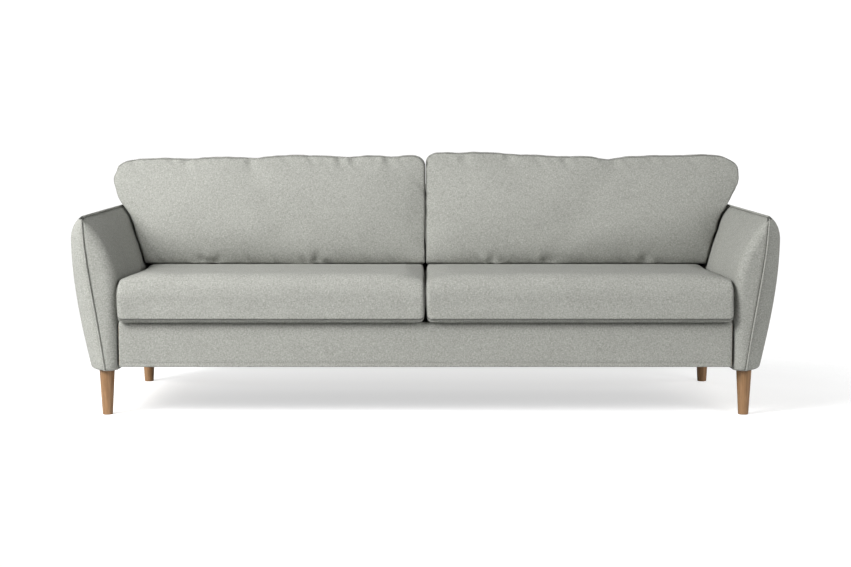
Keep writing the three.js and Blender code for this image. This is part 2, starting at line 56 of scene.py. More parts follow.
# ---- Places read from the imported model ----
INNER_X, ARM_FRONT, ARM_FOOT = box("arm_inner_pad_right")[0]  # the right arm's inner face, front and underside
WIDEST_X = box("arm_outer_pad_right")[1][0]
BACK_LOW, BACK_HIGH = box("back_cover")
BACK_TOP = BACK_HIGH[2]
REAR_TOP = box("back_panel")[1][1]
SEAT_LOW, SEAT_HIGH = box("seat_cushion_right_cover")
_, SEAT_FRONT, SEAT_BOTTOM = SEAT_LOW
_, SEAT_REAR, SEAT_TOP = SEAT_HIGH
REST_LOW, REST_HIGH = box("back_cushion_right_cover")
REST_BOTTOM = REST_LOW[2]
EAR_X, REST_TOP = REST_HIGH[0], REST_HIGH[2]
GAP = 0.002  # between neighbouring cushions, and between a cushion and what it leans on

# ---- Shape of the arm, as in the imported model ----
ARM_HEIGHT = 0.656
RIDGE_X = INNER_X + 0.110
FOOT_X = INNER_X + 0.108
SEAM_FOOT = INNER_X + 0.042
SEAM_BOW = 0.11
SHOULDER = 0.081
SHOULDER_Z = ARM_HEIGHT - SHOULDER
FLARE_Z = ARM_FOOT + 0.248
FLARE_POWER = 2.2
RIDGE_RISE = 0.024
NOSE_DEPTH = 0.130
NOSE_START = math.radians(28)
INNER_ROUND = 0.036
REAR_ROUND = 0.040
SLOPE = math.tan(math.radians(4.7))
BACK_THICK = 0.110
ARM_DISH = 0.017  # the deepest that the back cushions press in the arm's padding
DISH_Y = 0.2  # where they do


def rear_y(z):
    return REAR_TOP - SLOPE * (BACK_TOP - z)


def back_front_y(z):
    return rear_y(z) - BACK_THICK


def inner_face(z):
    share = np.maximum(0, (z - FLARE_Z) / (ARM_HEIGHT - FLARE_Z))
    return INNER_X + (RIDGE_X - INNER_X) * share**FLARE_POWER


def outer_face(z):
    if z <= SHOULDER_Z:
        share = max(0, (z - ARM_FOOT) / (SHOULDER_Z - ARM_FOOT))
        return FOOT_X + (WIDEST_X - FOOT_X) * math.sin(share * math.pi / 2)
    share = min(1, (z - SHOULDER_Z) / SHOULDER)
    return RIDGE_X + (WIDEST_X - RIDGE_X) * math.sqrt(max(0, 1 - share**2))


def seam_line(z):
    share = (z - ARM_FOOT) / (ARM_HEIGHT - ARM_FOOT)
    return SEAM_FOOT + (RIDGE_X - SEAM_FOOT) * (share + SEAM_BOW * math.sin(math.pi * share**2))


def growth(y):
    back = (y - ARM_FRONT) / (rear_y(ARM_HEIGHT) - ARM_FRONT)
    return 1 + RIDGE_RISE * back / (ARM_HEIGHT - ARM_FOOT)


def lift(y, z):
    """The height of a level of the arm at a depth: the arm rises towards the rear."""
    return ARM_FOOT + (z - ARM_FOOT) * growth(y)


ARM_TOP = lift(rear_y(ARM_HEIGHT), ARM_HEIGHT)


def clipped(value):
    return np.clip(value, 0, 1)


def eased_step(share):
    share = clipped(share)
    return share * share * (3 - 2 * share)


def window(value, low, rise, high, fall):
    """1 from low + rise to high - fall, 0 below low and above high, and eased between."""
    return eased_step((value - low) / rise) * eased_step((high - value) / fall)


def dish(y, z):
    """How far the back cushion presses in the arm's inner padding."""
    return ARM_DISH * window(y, 0.0, 0.12, 0.330, 0.06) * window(z, 0.32, 0.10, 0.652, 0.09)


def beside_arm(z, y=DISH_Y):
    """How far out a piece beside the arm's rear end may reach at a height."""
    level = np.minimum(ARM_HEIGHT, ARM_FOOT + (z - ARM_FOOT) / growth(rear_y(z)))
    return inner_face(level) + dish(y, z)


# ---- Lines ----
def dense(points, step=0.003):
    """A polyline with a point at least every step."""
    points = np.asarray(points, float)
    out = [points[0]]
    for a, b in zip(points[:-1], points[1:]):
        count = max(1, int(np.ceil(np.linalg.norm(b - a) / step)))
        out.extend(a + (b - a) * k / count for k in range(1, count + 1))
    return np.array(out)


def dense_loop(seam):
    return dense(np.concatenate([seam, seam[:1]]))


def resample(points, shares):
    """Points at the given shares of a polyline's length."""
    points = np.asarray(points, float)
    lengths = np.concatenate([[0], np.cumsum(np.linalg.norm(np.diff(points, axis=0), axis=1))])
    where = np.asarray(shares) * lengths[-1]
    return np.stack([np.interp(where, lengths, points[:, k]) for k in range(points.shape[1])], axis=1)


def soften(line, rounds):
    """Evens out the kinks of a polyline. Its ends stay."""
    for _ in range(rounds):
        line[1:-1] = 0.5 * line[1:-1] + 0.25 * (line[:-2] + line[2:])
    return line


def smooth_line(points, step=0.003):
    """A polyline resampled evenly, its kinks softened."""
    length = np.linalg.norm(np.diff(points, axis=0), axis=1).sum()
    count = max(8, int(length / step))
    return soften(resample(points, np.linspace(0, 1, count + 1)), 8)


def arc(cx, cy, rx, ry, start, end, steps):
    angles = np.radians(np.linspace(start, end, steps + 1))
    return np.stack([cx + rx * np.cos(angles), cy + ry * np.sin(angles)], axis=1)


def corner_halves(cx, cy, rx, ry, start, turn, steps):
    """A round corner as two arcs of 45 degrees: turn is 1 for anticlockwise and -1 for clockwise."""
    middle, end = start + 45 * turn, start + 90 * turn
    return arc(cx, cy, rx, ry, start, middle, steps), arc(cx, cy, rx, ry, middle, end, steps)


def edge_shares(count, length, near=(0.0025, 0.006, 0.0115, 0.019)):
    """Shares of a length that lie close together near both ends, at the given distances."""
    near = np.array(near) / length
    middle = np.linspace(near[-1], 1 - near[-1], count)[1:-1]
    return np.concatenate([[0], near, middle, 1 - near[::-1], [1]])


def outward_of(loop):
    """The direction out of an anticlockwise loop at each of its points."""
    tangent = np.roll(loop, -1, axis=0) - np.roll(loop, 1, axis=0)
    outward = np.stack([tangent[:, 1], -tangent[:, 0]], axis=1)
    return outward / np.maximum(np.linalg.norm(outward, axis=1), 1e-9)[:, None]


def inset_sides(sides, amount):
    """Moves four sides, which run round as bottom, right, top reversed and left reversed, inwards."""
    bottom, right, top, left = sides
    parts = [bottom, right, top[::-1], left[::-1]]
    loop = np.concatenate([part[:-1] for part in parts])
    loop = loop - amount * outward_of(loop)
    out, start = [], 0
    for part in parts:
        stop = start + len(part) - 1
        out.append(np.concatenate([loop[start:stop], loop[stop % len(loop)][None]]))
        start = stop
    return out[0], out[1], out[2][::-1], out[3][::-1]


# ---- Meshes ----
def assign(target, **settings):
    for key, value in settings.items():
        setattr(target, key, value)
    return target


def add_object(name, data):
    obj = bpy.data.objects.new(name, data)
    bpy.context.scene.collection.objects.link(obj)
    return obj


def to_object(name, verts, faces, smooth=True):
    """An object with its double points merged and its faces turned one way, outwards if it is closed."""
    mesh = bpy.data.meshes.new(name)
    mesh.from_pydata([tuple(v) for v in verts], [], [tuple(f) for f in faces])
    mesh.update()
    obj = add_object(name, mesh)
    work = bmesh.new()
    work.from_mesh(mesh)
    bmesh.ops.remove_doubles(work, verts=work.verts, dist=1e-6)
    bmesh.ops.recalc_face_normals(work, faces=work.faces)
    work.to_mesh(mesh)
    work.free()
    for polygon in mesh.polygons:
        polygon.use_smooth = smooth
    return obj


def grid_faces(rows, columns, closed=False, start=0, turned=False):
    """The faces of a grid of points kept row by row. A closed grid's rows run round."""
    faces = []
    for r in range(rows - 1):
        for c in range(columns if closed else columns - 1):
            a, b = (start + r * columns + k for k in (c, (c + 1) % columns))
            faces.append((a, a + columns, b + columns, b) if turned else (a, b, b + columns, a + columns))
    return faces


def grid_rim(rows, columns):
    """The numbers of the points round a grid."""
    rim = [i * columns for i in range(rows - 1)] + [(rows - 1) * columns + j for j in range(columns - 1)]
    rim += [i * columns + columns - 1 for i in range(rows - 1, 0, -1)]
    return rim + list(range(columns - 1, 0, -1))


def sheet_from_rows(name, rows):
    return to_object(name, [p for row in rows for p in row], grid_faces(len(rows), len(rows[0])))


def capped(name, bodies, smooth=True):
    """Closed bodies as one object. Each is a list of rings of points, with a cap at both ends."""
    verts, faces = [], []
    for rings in bodies:
        count, columns, start = len(rings), len(rings[0]), len(verts)
        faces += grid_faces(count, columns, closed=True, start=start)
        faces += [range(k, k + columns) for k in (start, start + (count - 1) * columns)]
        verts += [p for ring in rings for p in ring]
    return to_object(name, verts, faces, smooth)


def sweep(name, route, radius, sides=10):
    """A round cord along a route, its ends closed."""
    route = np.asarray(route, float)
    tangents = np.gradient(route, axis=0)
    tangents /= np.linalg.norm(tangents, axis=1)[:, None]
    side = np.cross(tangents[0], [0.3, 0.5, 0.81])  # any direction that the route doesn't start in
    verts = []
    for point, along in zip(route, tangents):
        side = side - along * side.dot(along)
        side /= np.linalg.norm(side)
        up = np.cross(along, side)
        for k in range(sides):
            angle = 2 * math.pi * k / sides
            verts.append(point + radius * (math.cos(angle) * side + math.sin(angle) * up))
    faces = grid_faces(len(route), sides, closed=True)
    for tip, start in ((route[0], 0), (route[-1], (len(route) - 1) * sides)):
        verts.append(tip)
        faces += [(len(verts) - 1, start + k, start + (k + 1) % sides) for k in range(sides)]
    return to_object(name, verts, faces)


def positions(obj, kind="co"):
    out = np.empty(len(obj.data.vertices) * 3)
    obj.data.vertices.foreach_get(kind, out)
    return out.reshape(-1, 3)


def normals(obj):
    return positions(obj, "normal")


def set_positions(obj, points):
    obj.data.vertices.foreach_set("co", points.ravel())
    obj.data.update()


def push(obj, distance):
    """Moves each point along its normal."""
    set_positions(obj, positions(obj) + normals(obj) * distance[:, None])


def modify(obj, kind, **settings):
    """Replaces the object's mesh by what a modifier makes of it."""
    assign(obj.modifiers.new(kind, kind), **settings)
    graph = bpy.context.evaluated_depsgraph_get()
    made = bpy.data.meshes.new_from_object(obj.evaluated_get(graph))
    obj.modifiers.clear()
    obj.data = made


def subdivide(obj):
    modify(obj, "SUBSURF", levels=1)


def solidify(obj, thickness):
    modify(obj, "SOLIDIFY", thickness=thickness, offset=-1, use_rim=True)


def mirrored(obj, name):
    copy = add_object(name, obj.data.copy())
    set_positions(copy, positions(copy) * [-1, 1, 1])
    copy.data.flip_normals()
    return copy


def orient(obj, point, direction):
    """Turns the faces of an open sheet so that the face nearest the point looks in the direction."""
    polygon = min(obj.data.polygons, key=lambda p: (p.center - Vector(point)).length)
    if polygon.normal.dot(Vector(direction)) < 0:
        obj.data.flip_normals()


# ---- Seams with painted shade, swells and folds ----
# Painted shade: how much the cloth's colour is darkened along the seams, standing in for the shade in their
# grooves.
PAINTED_SEAM_SHADE = "painted_seam_shade"  # the point attribute that the woven cloth reads
PAINTED_SEAM_SHADE_WIDTH = 0.0028


def distances(points, line):
    """The distance of each point to the nearest point of a dense line."""
    tree = KDTree(len(line))
    for i, p in enumerate(line):
        tree.insert(p, i)
    tree.balance()
    return np.array([tree.find(p)[2] for p in points])


def bell(away, width):
    return np.exp(-((away / width) ** 2))


def paint_shade_in_seams(obj, away, width):
    """Paints shade into a seam: notes on the mesh, for each point, how much darker the cloth is painted, more the
    nearer the point lies to the seam.
    """
    depth = bell(away, width)
    attributes = obj.data.attributes
    attribute = attributes.get(PAINTED_SEAM_SHADE) or attributes.new(PAINTED_SEAM_SHADE, "FLOAT", "POINT")
    before = np.empty(len(depth))
    attribute.data.foreach_get("value", before)
    attribute.data.foreach_set("value", np.maximum(before, depth).astype(np.float32))


def sink_along(obj, line, depth, width):
    """Pulls the surface in beside a seam, and paints shade along it."""
    away = distances(positions(obj), line)
    push(obj, -depth * bell(away, width))
    paint_shade_in_seams(obj, away, PAINTED_SEAM_SHADE_WIDTH)


def swell(obj, seed, *terms, share=1.0):
    """Slow waves of the padding under the cloth. A term is a height, and two axes with their rates."""
    points = positions(obj)
    phase = np.random.default_rng(seed).uniform(0, 6.28, 2 * len(terms))
    height = sum(
        amount
        * np.sin(points[:, a] * rate_a + phase[2 * k])
        * np.sin(points[:, b] * rate_b + phase[2 * k + 1])
        for k, (amount, a, rate_a, b, rate_b) in enumerate(terms)
    )
    push(obj, height * share)


def padded_look(obj, amount, rate, seed):
    swell(obj, seed, (amount, 1, rate, 2, rate * 1.3), (0.6 * amount, 0, rate * 1.7, 2, rate * 0.7))


def gathers(obj, seam, amount, reach, seed):
    """Small irregular ripples where the cloth is gathered into a seam."""
    points = positions(obj)
    away = distances(points, dense_loop(seam))
    draw = np.random.default_rng(seed)
    run = points[:, 0] + 0.8 * points[:, 2]
    ripple = sum(
        a * np.sin(2 * math.pi * run / wave + draw.uniform(0, 6.28))
        for a, wave in ((0.5, 0.047), (0.6, 0.083), (0.7, 0.137), (0.5, 0.211))
    )
    ripple = np.where(ripple < 0, ripple * 1.5, ripple * 0.6)
    fade = np.exp(-away / reach) * (1 - np.exp(-away / 0.004))
    push(obj, amount * ripple * fade)


def facing_front(normal):
    """1 where a surface looks to the front, and 0 where it looks up, down or aside."""
    return clipped(-normal[:, 1] * 2 - 0.2)


def crease(obj, start, end, width, depth):
    """A fold in the front from start to end, in x and z, deepest near the start and raised beside it."""
    a, b = np.array(start), np.array(end)
    length = np.linalg.norm(b - a)
    along = (b - a) / length
    offset = positions(obj)[:, [0, 2]] - a
    t = clipped(offset @ along / length)
    away = np.linalg.norm(offset - np.outer(t * length, along), axis=1)
    spread = width * (1 + 0.9 * t)
    profile = bell(away, spread) - 0.45 * bell(away - 2 * spread, spread)
    along_fold = (1 - t) ** 1.3 * np.minimum(1, 0.3 + t / 0.2)
    push(obj, -depth * along_fold * profile * facing_front(normals(obj)))


# ---- Materials ----
class Nodes:
    """Short ways to add nodes to one tree."""

    def __init__(self, tree):
        self.tree = tree

    def put(self, node, inputs):
        for key, value in inputs.items():
            if isinstance(value, bpy.types.NodeSocket):
                self.tree.links.new(value, node.inputs[key])
            else:
                node.inputs[key].default_value = value
        return node

    def add(self, kind, inputs=None, **settings):
        return self.put(assign(self.tree.nodes.new(kind), **settings), inputs or {})

    def math(self, operation, a, b=0.0):
        return self.add("ShaderNodeMath", {0: a, 1: b}, operation=operation).outputs[0]

    def times(self, a, b):
        return self.math("MULTIPLY", a, b)

    def plus(self, a, b):
        return self.math("ADD", a, b)

    def minus(self, a, b):
        return self.math("SUBTRACT", a, b)

    def absolute(self, a):
        return self.math("ABSOLUTE", a)

    def larger(self, a, b):
        return self.math("GREATER_THAN", a, b)

    def between(self, factor, a, b):
        return self.add("ShaderNodeMix", {0: factor, 2: a, 3: b}, data_type="FLOAT").outputs[0]

    def mix(self, factor, a, b, **settings):
        return self.add("ShaderNodeMix", {0: factor, 6: a, 7: b}, data_type="RGBA", **settings).outputs[2]

    def noise(self, vector, scale, detail=2.0, roughness=0.5):
        inputs = {"Vector": vector, "Scale": scale, "Detail": detail, "Roughness": roughness}
        return self.add("ShaderNodeTexNoise", inputs).outputs["Fac"]

    def ramp(self, value, low, high, to_low=0.0, to_high=1.0, **settings):
        inputs = {0: value, 1: low, 2: high, 3: to_low, 4: to_high}
        return self.add("ShaderNodeMapRange", inputs, **settings).outputs[0]

    def combine(self, *xyz):
        return self.add("ShaderNodeCombineXYZ", dict(enumerate(xyz))).outputs[0]

    def separate(self, vector):
        return self.add("ShaderNodeSeparateXYZ", {0: vector}).outputs

    def place(self):
        return self.add("ShaderNodeTexCoord").outputs["Object"]

    def scaled(self, vector, scale):
        return self.add("ShaderNodeMapping", {"Vector": vector, "Scale": scale}).outputs[0]

    def bump(self, height, strength, distance):
        inputs = {"Height": height, "Strength": strength, "Distance": distance}
        return self.add("ShaderNodeBump", inputs).outputs[0]


def node_material(name):
    material = bpy.data.materials.new(name)
    material.use_nodes = True
    return material, Nodes(material.node_tree), material.node_tree.nodes["Principled BSDF"]


def cloth_plane(n, turn):
    """Two coordinates that run in the surface, chosen from the object's axes by the normal."""
    coords = n.add("ShaderNodeTexCoord").outputs
    place = n.separate(coords["Object"])
    facing = n.separate(coords["Normal"])
    ax, ay, az = (n.absolute(facing[i]) for i in range(3))
    side = n.times(n.larger(ax, ay), n.larger(ax, az))
    level = n.times(n.larger(az, ay), n.minus(1.0, side))
    u = n.between(side, place[0], place[1])
    v = n.between(level, place[2], place[1])
    if turn:
        c, s = math.cos(turn), math.sin(turn)
        u, v = n.plus(n.times(u, c), n.times(v, s)), n.minus(n.times(v, c), n.times(u, s))
    return u, v, coords["Object"]


def woven(name, light, dark, pitch=0.0017, turn=0.0, sheen=0.05):
    """A plain weave of yarns that vary in shade from one to the next and along their length."""
    material, n, shader = node_material(name)
    u, v, place = cloth_plane(n, turn)
    wobble = n.times(n.minus(n.noise(place, 60.0), 0.5), pitch * 1.2)
    u, v = n.plus(u, wobble), n.plus(v, wobble)
    across, up = n.math("DIVIDE", u, pitch), n.math("DIVIDE", v, pitch)
    warp, weft = n.math("FLOOR", across), n.math("FLOOR", up)
    # Each yarn has its own shade, and short lighter and darker stretches.
    warp_shade = n.noise(n.combine(warp, n.times(v, 90.0), 0.0), 1.0, 1.0)
    weft_shade = n.noise(n.combine(n.times(u, 90.0), weft, 7.3), 1.0, 1.0)
    over = n.larger(n.math("MODULO", n.absolute(n.plus(warp, weft)), 2.0), 0.5)
    shade = n.between(over, warp_shade, weft_shade)
    # Bundles of like yarns show as short streaks both ways.
    streaks = [
        n.noise(n.combine(n.times(u, a), n.times(v, b), c), 1.0, 2.0, 0.6)
        for a, b, c in ((130.0, 360.0, 3.1), (360.0, 130.0, 5.7))
    ]
    mottle = n.noise(place, 230.0, 2.0, 0.6)
    broad = n.noise(place, 9.0, 2.0)
    tone = n.times(shade, 0.25)
    for part, share in ((streaks[0], 0.27), (streaks[1], 0.24), (mottle, 0.20), (broad, 0.04)):
        tone = n.plus(tone, n.times(part, share))
    colour = n.mix(n.ramp(tone, 0.385, 0.615), (*dark, 1), (*light, 1))
    # Yarns are round: dark between them. Along the seams the colour is darkened further, as painted shade.
    warp_round, weft_round = (n.absolute(n.minus(n.math("FRACT", c), 0.5)) for c in (across, up))
    edge = n.between(over, warp_round, weft_round)
    height = n.minus(1.0, n.times(n.math("POWER", edge, 2.0), 4.0))
    # Painted shade along the seams, read from the mesh attribute.
    seam = n.add("ShaderNodeAttribute", attribute_name=PAINTED_SEAM_SHADE).outputs["Fac"]
    yarn_gaps_and_seam_shade = n.times(n.ramp(height, 0.0, 0.55, 0.86, 1.0), n.minus(1.0, n.times(seam, 0.72)))
    n.put(shader, {
        "Base Color": n.mix(1.0, colour, n.combine(yarn_gaps_and_seam_shade, yarn_gaps_and_seam_shade, yarn_gaps_and_seam_shade), blend_type="MULTIPLY"),
        "Roughness": n.ramp(tone, 0.3, 0.7, 0.98, 0.84),
        "Normal": n.bump(n.plus(height, n.times(mottle, 0.6)), 0.5, pitch * 0.35),
        "Sheen Weight": sheen,
        "Sheen Roughness": 0.45,
        "Specular IOR Level": 0.10,
    })
    return material


def timber(name, light, dark, axis, scale=1.0, roughness=0.45):
    """Wood whose grain runs along an axis: long fibres, growth bands and pores."""
    material, n, shader = node_material(name)
    place = n.place()

    def along_grain(across, along):
        return n.scaled(place, [along if k == axis else across for k in range(3)])

    bands = n.noise(along_grain(38.0 * scale, 2.2 * scale), 1.0, 3.0, 0.55)
    rings = n.times(n.absolute(n.minus(n.math("FRACT", n.times(bands, 7.0)), 0.5)), 2.0)
    fibres = n.noise(along_grain(900.0, 26.0), 1.0, 2.0)
    pores = n.ramp(fibres, 0.56, 0.70)
    colour = n.mix(n.plus(n.times(rings, 0.55), n.times(fibres, 0.45)), (*dark, 1), (*light, 1))
    n.put(shader, {
        "Base Color": n.mix(n.times(pores, 0.35), colour, (*[c * 0.45 for c in dark], 1)),
        "Roughness": n.ramp(fibres, 0.3, 0.7, roughness + 0.12, roughness - 0.05),
        "Normal": n.bump(n.minus(fibres, pores), 0.25, 0.0006),
        "Coat Weight": 0.12,
        "Coat Roughness": 0.4,
    })
    return material


def plated_steel(name):
    material, n, shader = node_material(name)
    spots = n.noise(n.place(), 240.0, 3.0)
    n.put(shader, {
        "Base Color": n.mix(spots, (0.50, 0.50, 0.49, 1), (0.66, 0.66, 0.64, 1)),
        "Roughness": n.ramp(spots, 0.3, 0.7, 0.28, 0.45),
        "Normal": n.bump(spots, 0.15, 0.0004),
        "Metallic": 1.0,
    })
    return material


def speckled(name, light, dark, scale):
    """A surface of fine cells, for foam and non-woven cloth."""
    material, n, shader = node_material(name)
    place = n.place()
    cells = n.add("ShaderNodeTexVoronoi", {"Vector": place, "Scale": scale}).outputs["Distance"]
    soft = n.noise(place, scale * 0.4, 3.0)
    factor = n.plus(n.times(cells, 0.6), n.times(soft, 0.5))
    n.put(shader, {
        "Base Color": n.mix(factor, (*dark, 1), (*light, 1)),
        "Roughness": n.ramp(soft, 0.3, 0.7, 0.82, 0.9),
        "Normal": n.bump(factor, 0.4, 0.0008),
    })
    return material


CLOTH = (0.385, 0.388, 0.358), (0.205, 0.208, 0.189)  # the sofa's fabric, light and dark
PINE = (0.74, 0.56, 0.34), (0.58, 0.40, 0.21)
fabric = woven("upholstery_fabric", *CLOTH)
piping_fabric = woven("piping_fabric", *CLOTH, turn=math.radians(45))
deck_fabric = woven("deck_fabric", (0.42, 0.42, 0.40), (0.26, 0.26, 0.25), pitch=0.0012, sheen=0.1)
webbing_fabric = woven("webbing_fabric", (0.06, 0.06, 0.065), (0.025, 0.025, 0.028), pitch=0.002)
dust_fabric = speckled("dust_fabric", (0.035, 0.035, 0.037), (0.012, 0.012, 0.013), 700.0)
foam_cells = speckled("foam_cells", (0.85, 0.80, 0.66), (0.62, 0.57, 0.44), 520.0)
oak = timber("oak", (0.308, 0.172, 0.078), (0.162, 0.082, 0.031), axis=2)
pine_x, pine_y, pine_z = (
    timber(f"pine_along_{name}", *PINE, axis=axis, scale=0.6, roughness=0.6) for axis, name in enumerate("xyz")
)
steel = plated_steel("zinc_plated_steel")


def dress(obj, material):
    obj.data.materials.clear()
    obj.data.materials.append(material)


def piece(obj, body, slot, material, *nodes, fill=None):
    """Gives a piece its material and body, and hides the nodes it stands for. The slot and fill are not used."""
    dress(obj, material)
    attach(obj, body)
    if nodes:
        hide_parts(*nodes)


# ---- Arms ----
FOOT_ROUND = 0.009
FLANGE = 0.022  # how far the cloth turns in under the arm
SEAM_DEPTH = 0.0042
SEAM_WIDTH = 0.0052
PIPING_RADIUS = 0.0033
ARM_CLOTH = 0.006


def arm_rows(heights, outline, dished=0):
    """A row of points for each level of the arm: under it, round its bottom edge, and up."""
    levels = [(ARM_FOOT + 0.0004, FLANGE), (ARM_FOOT + 0.0002, FOOT_ROUND)]
    for angle in np.radians([30, 60, 90]):
        levels.append((ARM_FOOT + FOOT_ROUND * (1 - math.cos(angle)), FOOT_ROUND * (1 - math.sin(angle))))
    rows = []
    for z, inset in levels + [(h, 0.0) for h in heights]:
        inner, outer = inner_face(z) + inset, outer_face(z) - inset
        seam = min(max(seam_line(z), inner), outer)
        row = outline(inner, outer, seam, ARM_FRONT + inset, rear_y(z) - inset)
        rows.append([(x + dished * dish(y, lift(y, z)), y, lift(y, z)) for x, y in row])
    return rows


def inner_outline(inner, _, seam, front, rear):
    """The inner panel's section: from the seam round the front edge, along the arm and back to the seam."""
    width = seam - inner
    round_x, corner = min(INNER_ROUND, 0.8 * width), min(0.012, 0.5 * width)
    flat, turned = inner + round_x, front + INNER_ROUND
    row = [(x, front) for x in (seam + (flat - seam) * edge_shares(6, max(width, 0.03), (0.002, 0.005)))[:-1]]
    row += [*arc(flat, turned, round_x, INNER_ROUND, 270, 180, 10)]
    row += [(inner, y) for y in np.linspace(turned, rear - corner, 44)[1:-1]]
    row += [*arc(inner + corner, rear - corner, corner, corner, 180, 90, 4)]
    return row + [(x, rear) for x in inner + corner + (width - corner) * edge_shares(4, 0.05, (0.004,))[1:]]


def outer_outline(inner, outer, seam, front, rear):
    """The outer panel's section: from the seam round the nose, along the arm and back to the seam."""
    corner = min(REAR_ROUND, 0.6 * (outer - inner))
    share = np.concatenate([[0, 0.02, 0.05, 0.09], np.linspace(0.14, 1, 17)])
    angles = NOSE_START + share * (math.pi / 2 - NOSE_START)
    out = (np.sin(angles) - math.sin(NOSE_START)) / (1 - math.sin(NOSE_START))
    back = (math.cos(NOSE_START) - np.cos(angles)) / math.cos(NOSE_START)
    row = list(zip(seam + (outer - seam) * out, front + NOSE_DEPTH * back))
    row += [(outer, y) for y in np.linspace(front + NOSE_DEPTH, rear - corner, 36)[1:-1]]
    row += [*arc(outer - corner, rear - corner, corner, corner, 0, 90, 8)]
    return row + [(x, rear) for x in outer - corner + (seam - outer + corner) * edge_shares(5, 0.06, (0.004,))[1:]]


def arm_seam():
    """The line of the piping: up the front, along the ridge and down the rear."""
    heights = np.linspace(ARM_FOOT + 0.002, ARM_HEIGHT, 60)
    front = [(seam_line(z), ARM_FRONT, z) for z in heights]
    ridge = [(RIDGE_X, y, lift(y, ARM_HEIGHT)) for y in np.linspace(ARM_FRONT, rear_y(ARM_HEIGHT), 80)]
    rear = [(seam_line(z), rear_y(z), lift(rear_y(z), z)) for z in heights[::-1]]
    return np.array(front + ridge[1:-1] + rear)


def build_arms():
    seam = arm_seam()
    line = dense(seam, 0.0025)
    low = ARM_FOOT + 0.025
    heights = [*np.linspace(low, ARM_HEIGHT - 0.024, 34)]
    heights += [ARM_HEIGHT - d for d in (0.016, 0.010, 0.006, 0.003, 0.001, 0.0)]
    inner = sheet_from_rows("arm_inner_panel_right", arm_rows(heights, inner_outline, dished=1))
    orient(inner, (INNER_X, 0, 0.3), (-1, 0, 0))
    heights = [*np.linspace(low, SHOULDER_Z, 30)]
    turns = np.radians([8, 16, 24, 32, 40, 48, 56, 63, 69, 74, 78, 82, 85, 87.5, 90])
    heights += [SHOULDER_Z + SHOULDER * math.sin(t) for t in turns]
    outer = sheet_from_rows("arm_outer_panel_right", arm_rows(heights, outer_outline))
    orient(outer, (WIDEST_X, 0.1, 0.5), (1, 0, 0))
    for panel, seed in ((inner, 1), (outer, 2)):
        padded_look(panel, 0.0006, 14, seed)
        # The seams are pulled in, and painted shade goes along them.
        sink_along(panel, line, SEAM_DEPTH, SEAM_WIDTH)
        solidify(panel, ARM_CLOTH)
    route = soften(resample(dense(seam, 0.002), np.linspace(0, 1, 420)), 6)
    piping = sweep("arm_piping_cord_right", route, PIPING_RADIUS)
    for part, name, slot, material, node, fill in (
        (inner, "arm_inner_panel", "upholstery", fabric, "arm_inner_pad", 0.9),
        (outer, "arm_outer_panel", "upholstery", fabric, "arm_outer_pad", 0.9),
        (piping, "arm_piping_cord", "piping", piping_fabric, "arm_piping", None),
    ):
        left = mirrored(part, f"{name}_left")
        piece(part, "frame", slot, material, f"{node}_right", fill=fill)
        piece(left, "frame", slot, material, f"{node}_left", fill=fill)


# ---- Cushions ----
def coons(bottom, right, top, left, us, vs):
    """The surface between four sides: bottom and top run with u, left and right with v."""
    b, t = resample(bottom, us), resample(top, us)
    l, r = resample(left, vs), resample(right, vs)
    u, v = us[:, None, None], vs[None, :, None]
    edges = (1 - v) * b[:, None] + v * t[:, None] + (1 - u) * l[None] + u * r[None]
    corners = (1 - u) * (1 - v) * b[0] + u * (1 - v) * b[-1] + (1 - u) * v * t[0] + u * v * t[-1]
    return edges - corners


def boxed(name, sides, us, vs, ws, place):
    """A closed cushion: two end panels with the same outline and a band between them. Returns it and its two
    seams. place(points, w, bulge, outward) puts points of the outline's plane in space: w runs from 0 to 1
    across the band, bulge is 0 on the seams and 1 in the middle, and outward is None on the end panels."""
    grid = coons(*sides, us, vs).reshape(-1, 2)
    nu, nv = len(us), len(vs)
    loop = grid_rim(nu, nv)
    rim = grid[loop]
    outward = outward_of(rim)
    bulge = (1 - np.abs(2 * us - 1) ** 3.2)[:, None] * (1 - np.abs(2 * vs - 1) ** 2.4)[None]
    verts, faces = [], []
    for end in (0, 1):
        faces += grid_faces(nu, nv, start=len(verts), turned=True)
        verts.extend(place(grid, float(end), bulge.reshape(-1), None))
    rows = [loop]
    for w in ws[1:-1]:
        rows.append(range(len(verts), len(verts) + len(rim)))
        verts.extend(place(rim, w, np.full(len(rim), 1 - abs(2 * w - 1) ** 4), outward))
    rows.append([k + nu * nv for k in loop])
    for a, b in zip(rows[:-1], rows[1:]):
        for k in range(len(rim)):
            m = (k + 1) % len(rim)
            faces.append((a[k], a[m], b[m], b[k]))
    return to_object(name, verts, faces), [np.array([verts[k] for k in rows[end]]) for end in (0, -1)]


CLOTH_FRAMES = 18
CLOTH_SETTINGS = {
    "quality": 5, "mass": 0.35, "tension_stiffness": 12.0, "compression_stiffness": 12.0,
    "shear_stiffness": 4.8, "tension_damping": 8, "compression_damping": 8, "air_damping": 4,
    "use_pressure": True, "uniform_pressure_force": 3.0, "vertex_group_mass": "pins", "pin_stiffness": 1.0,
}


def eased(obj, field, rounds=22):
    """Spreads a field over the mesh, so that only its broad form is left."""
    pairs = np.empty(len(obj.data.edges) * 2, dtype=np.int64)
    obj.data.edges.foreach_get("vertices", pairs)
    a, b = pairs.reshape(-1, 2).T
    count = np.bincount(pairs, minlength=len(field))[:, None]
    for _ in range(rounds):
        total = np.zeros_like(field)
        np.add.at(total, a, field[b])
        np.add.at(total, b, field[a])
        field = 0.5 * field + 0.5 * total / np.maximum(count, 1)
    return field


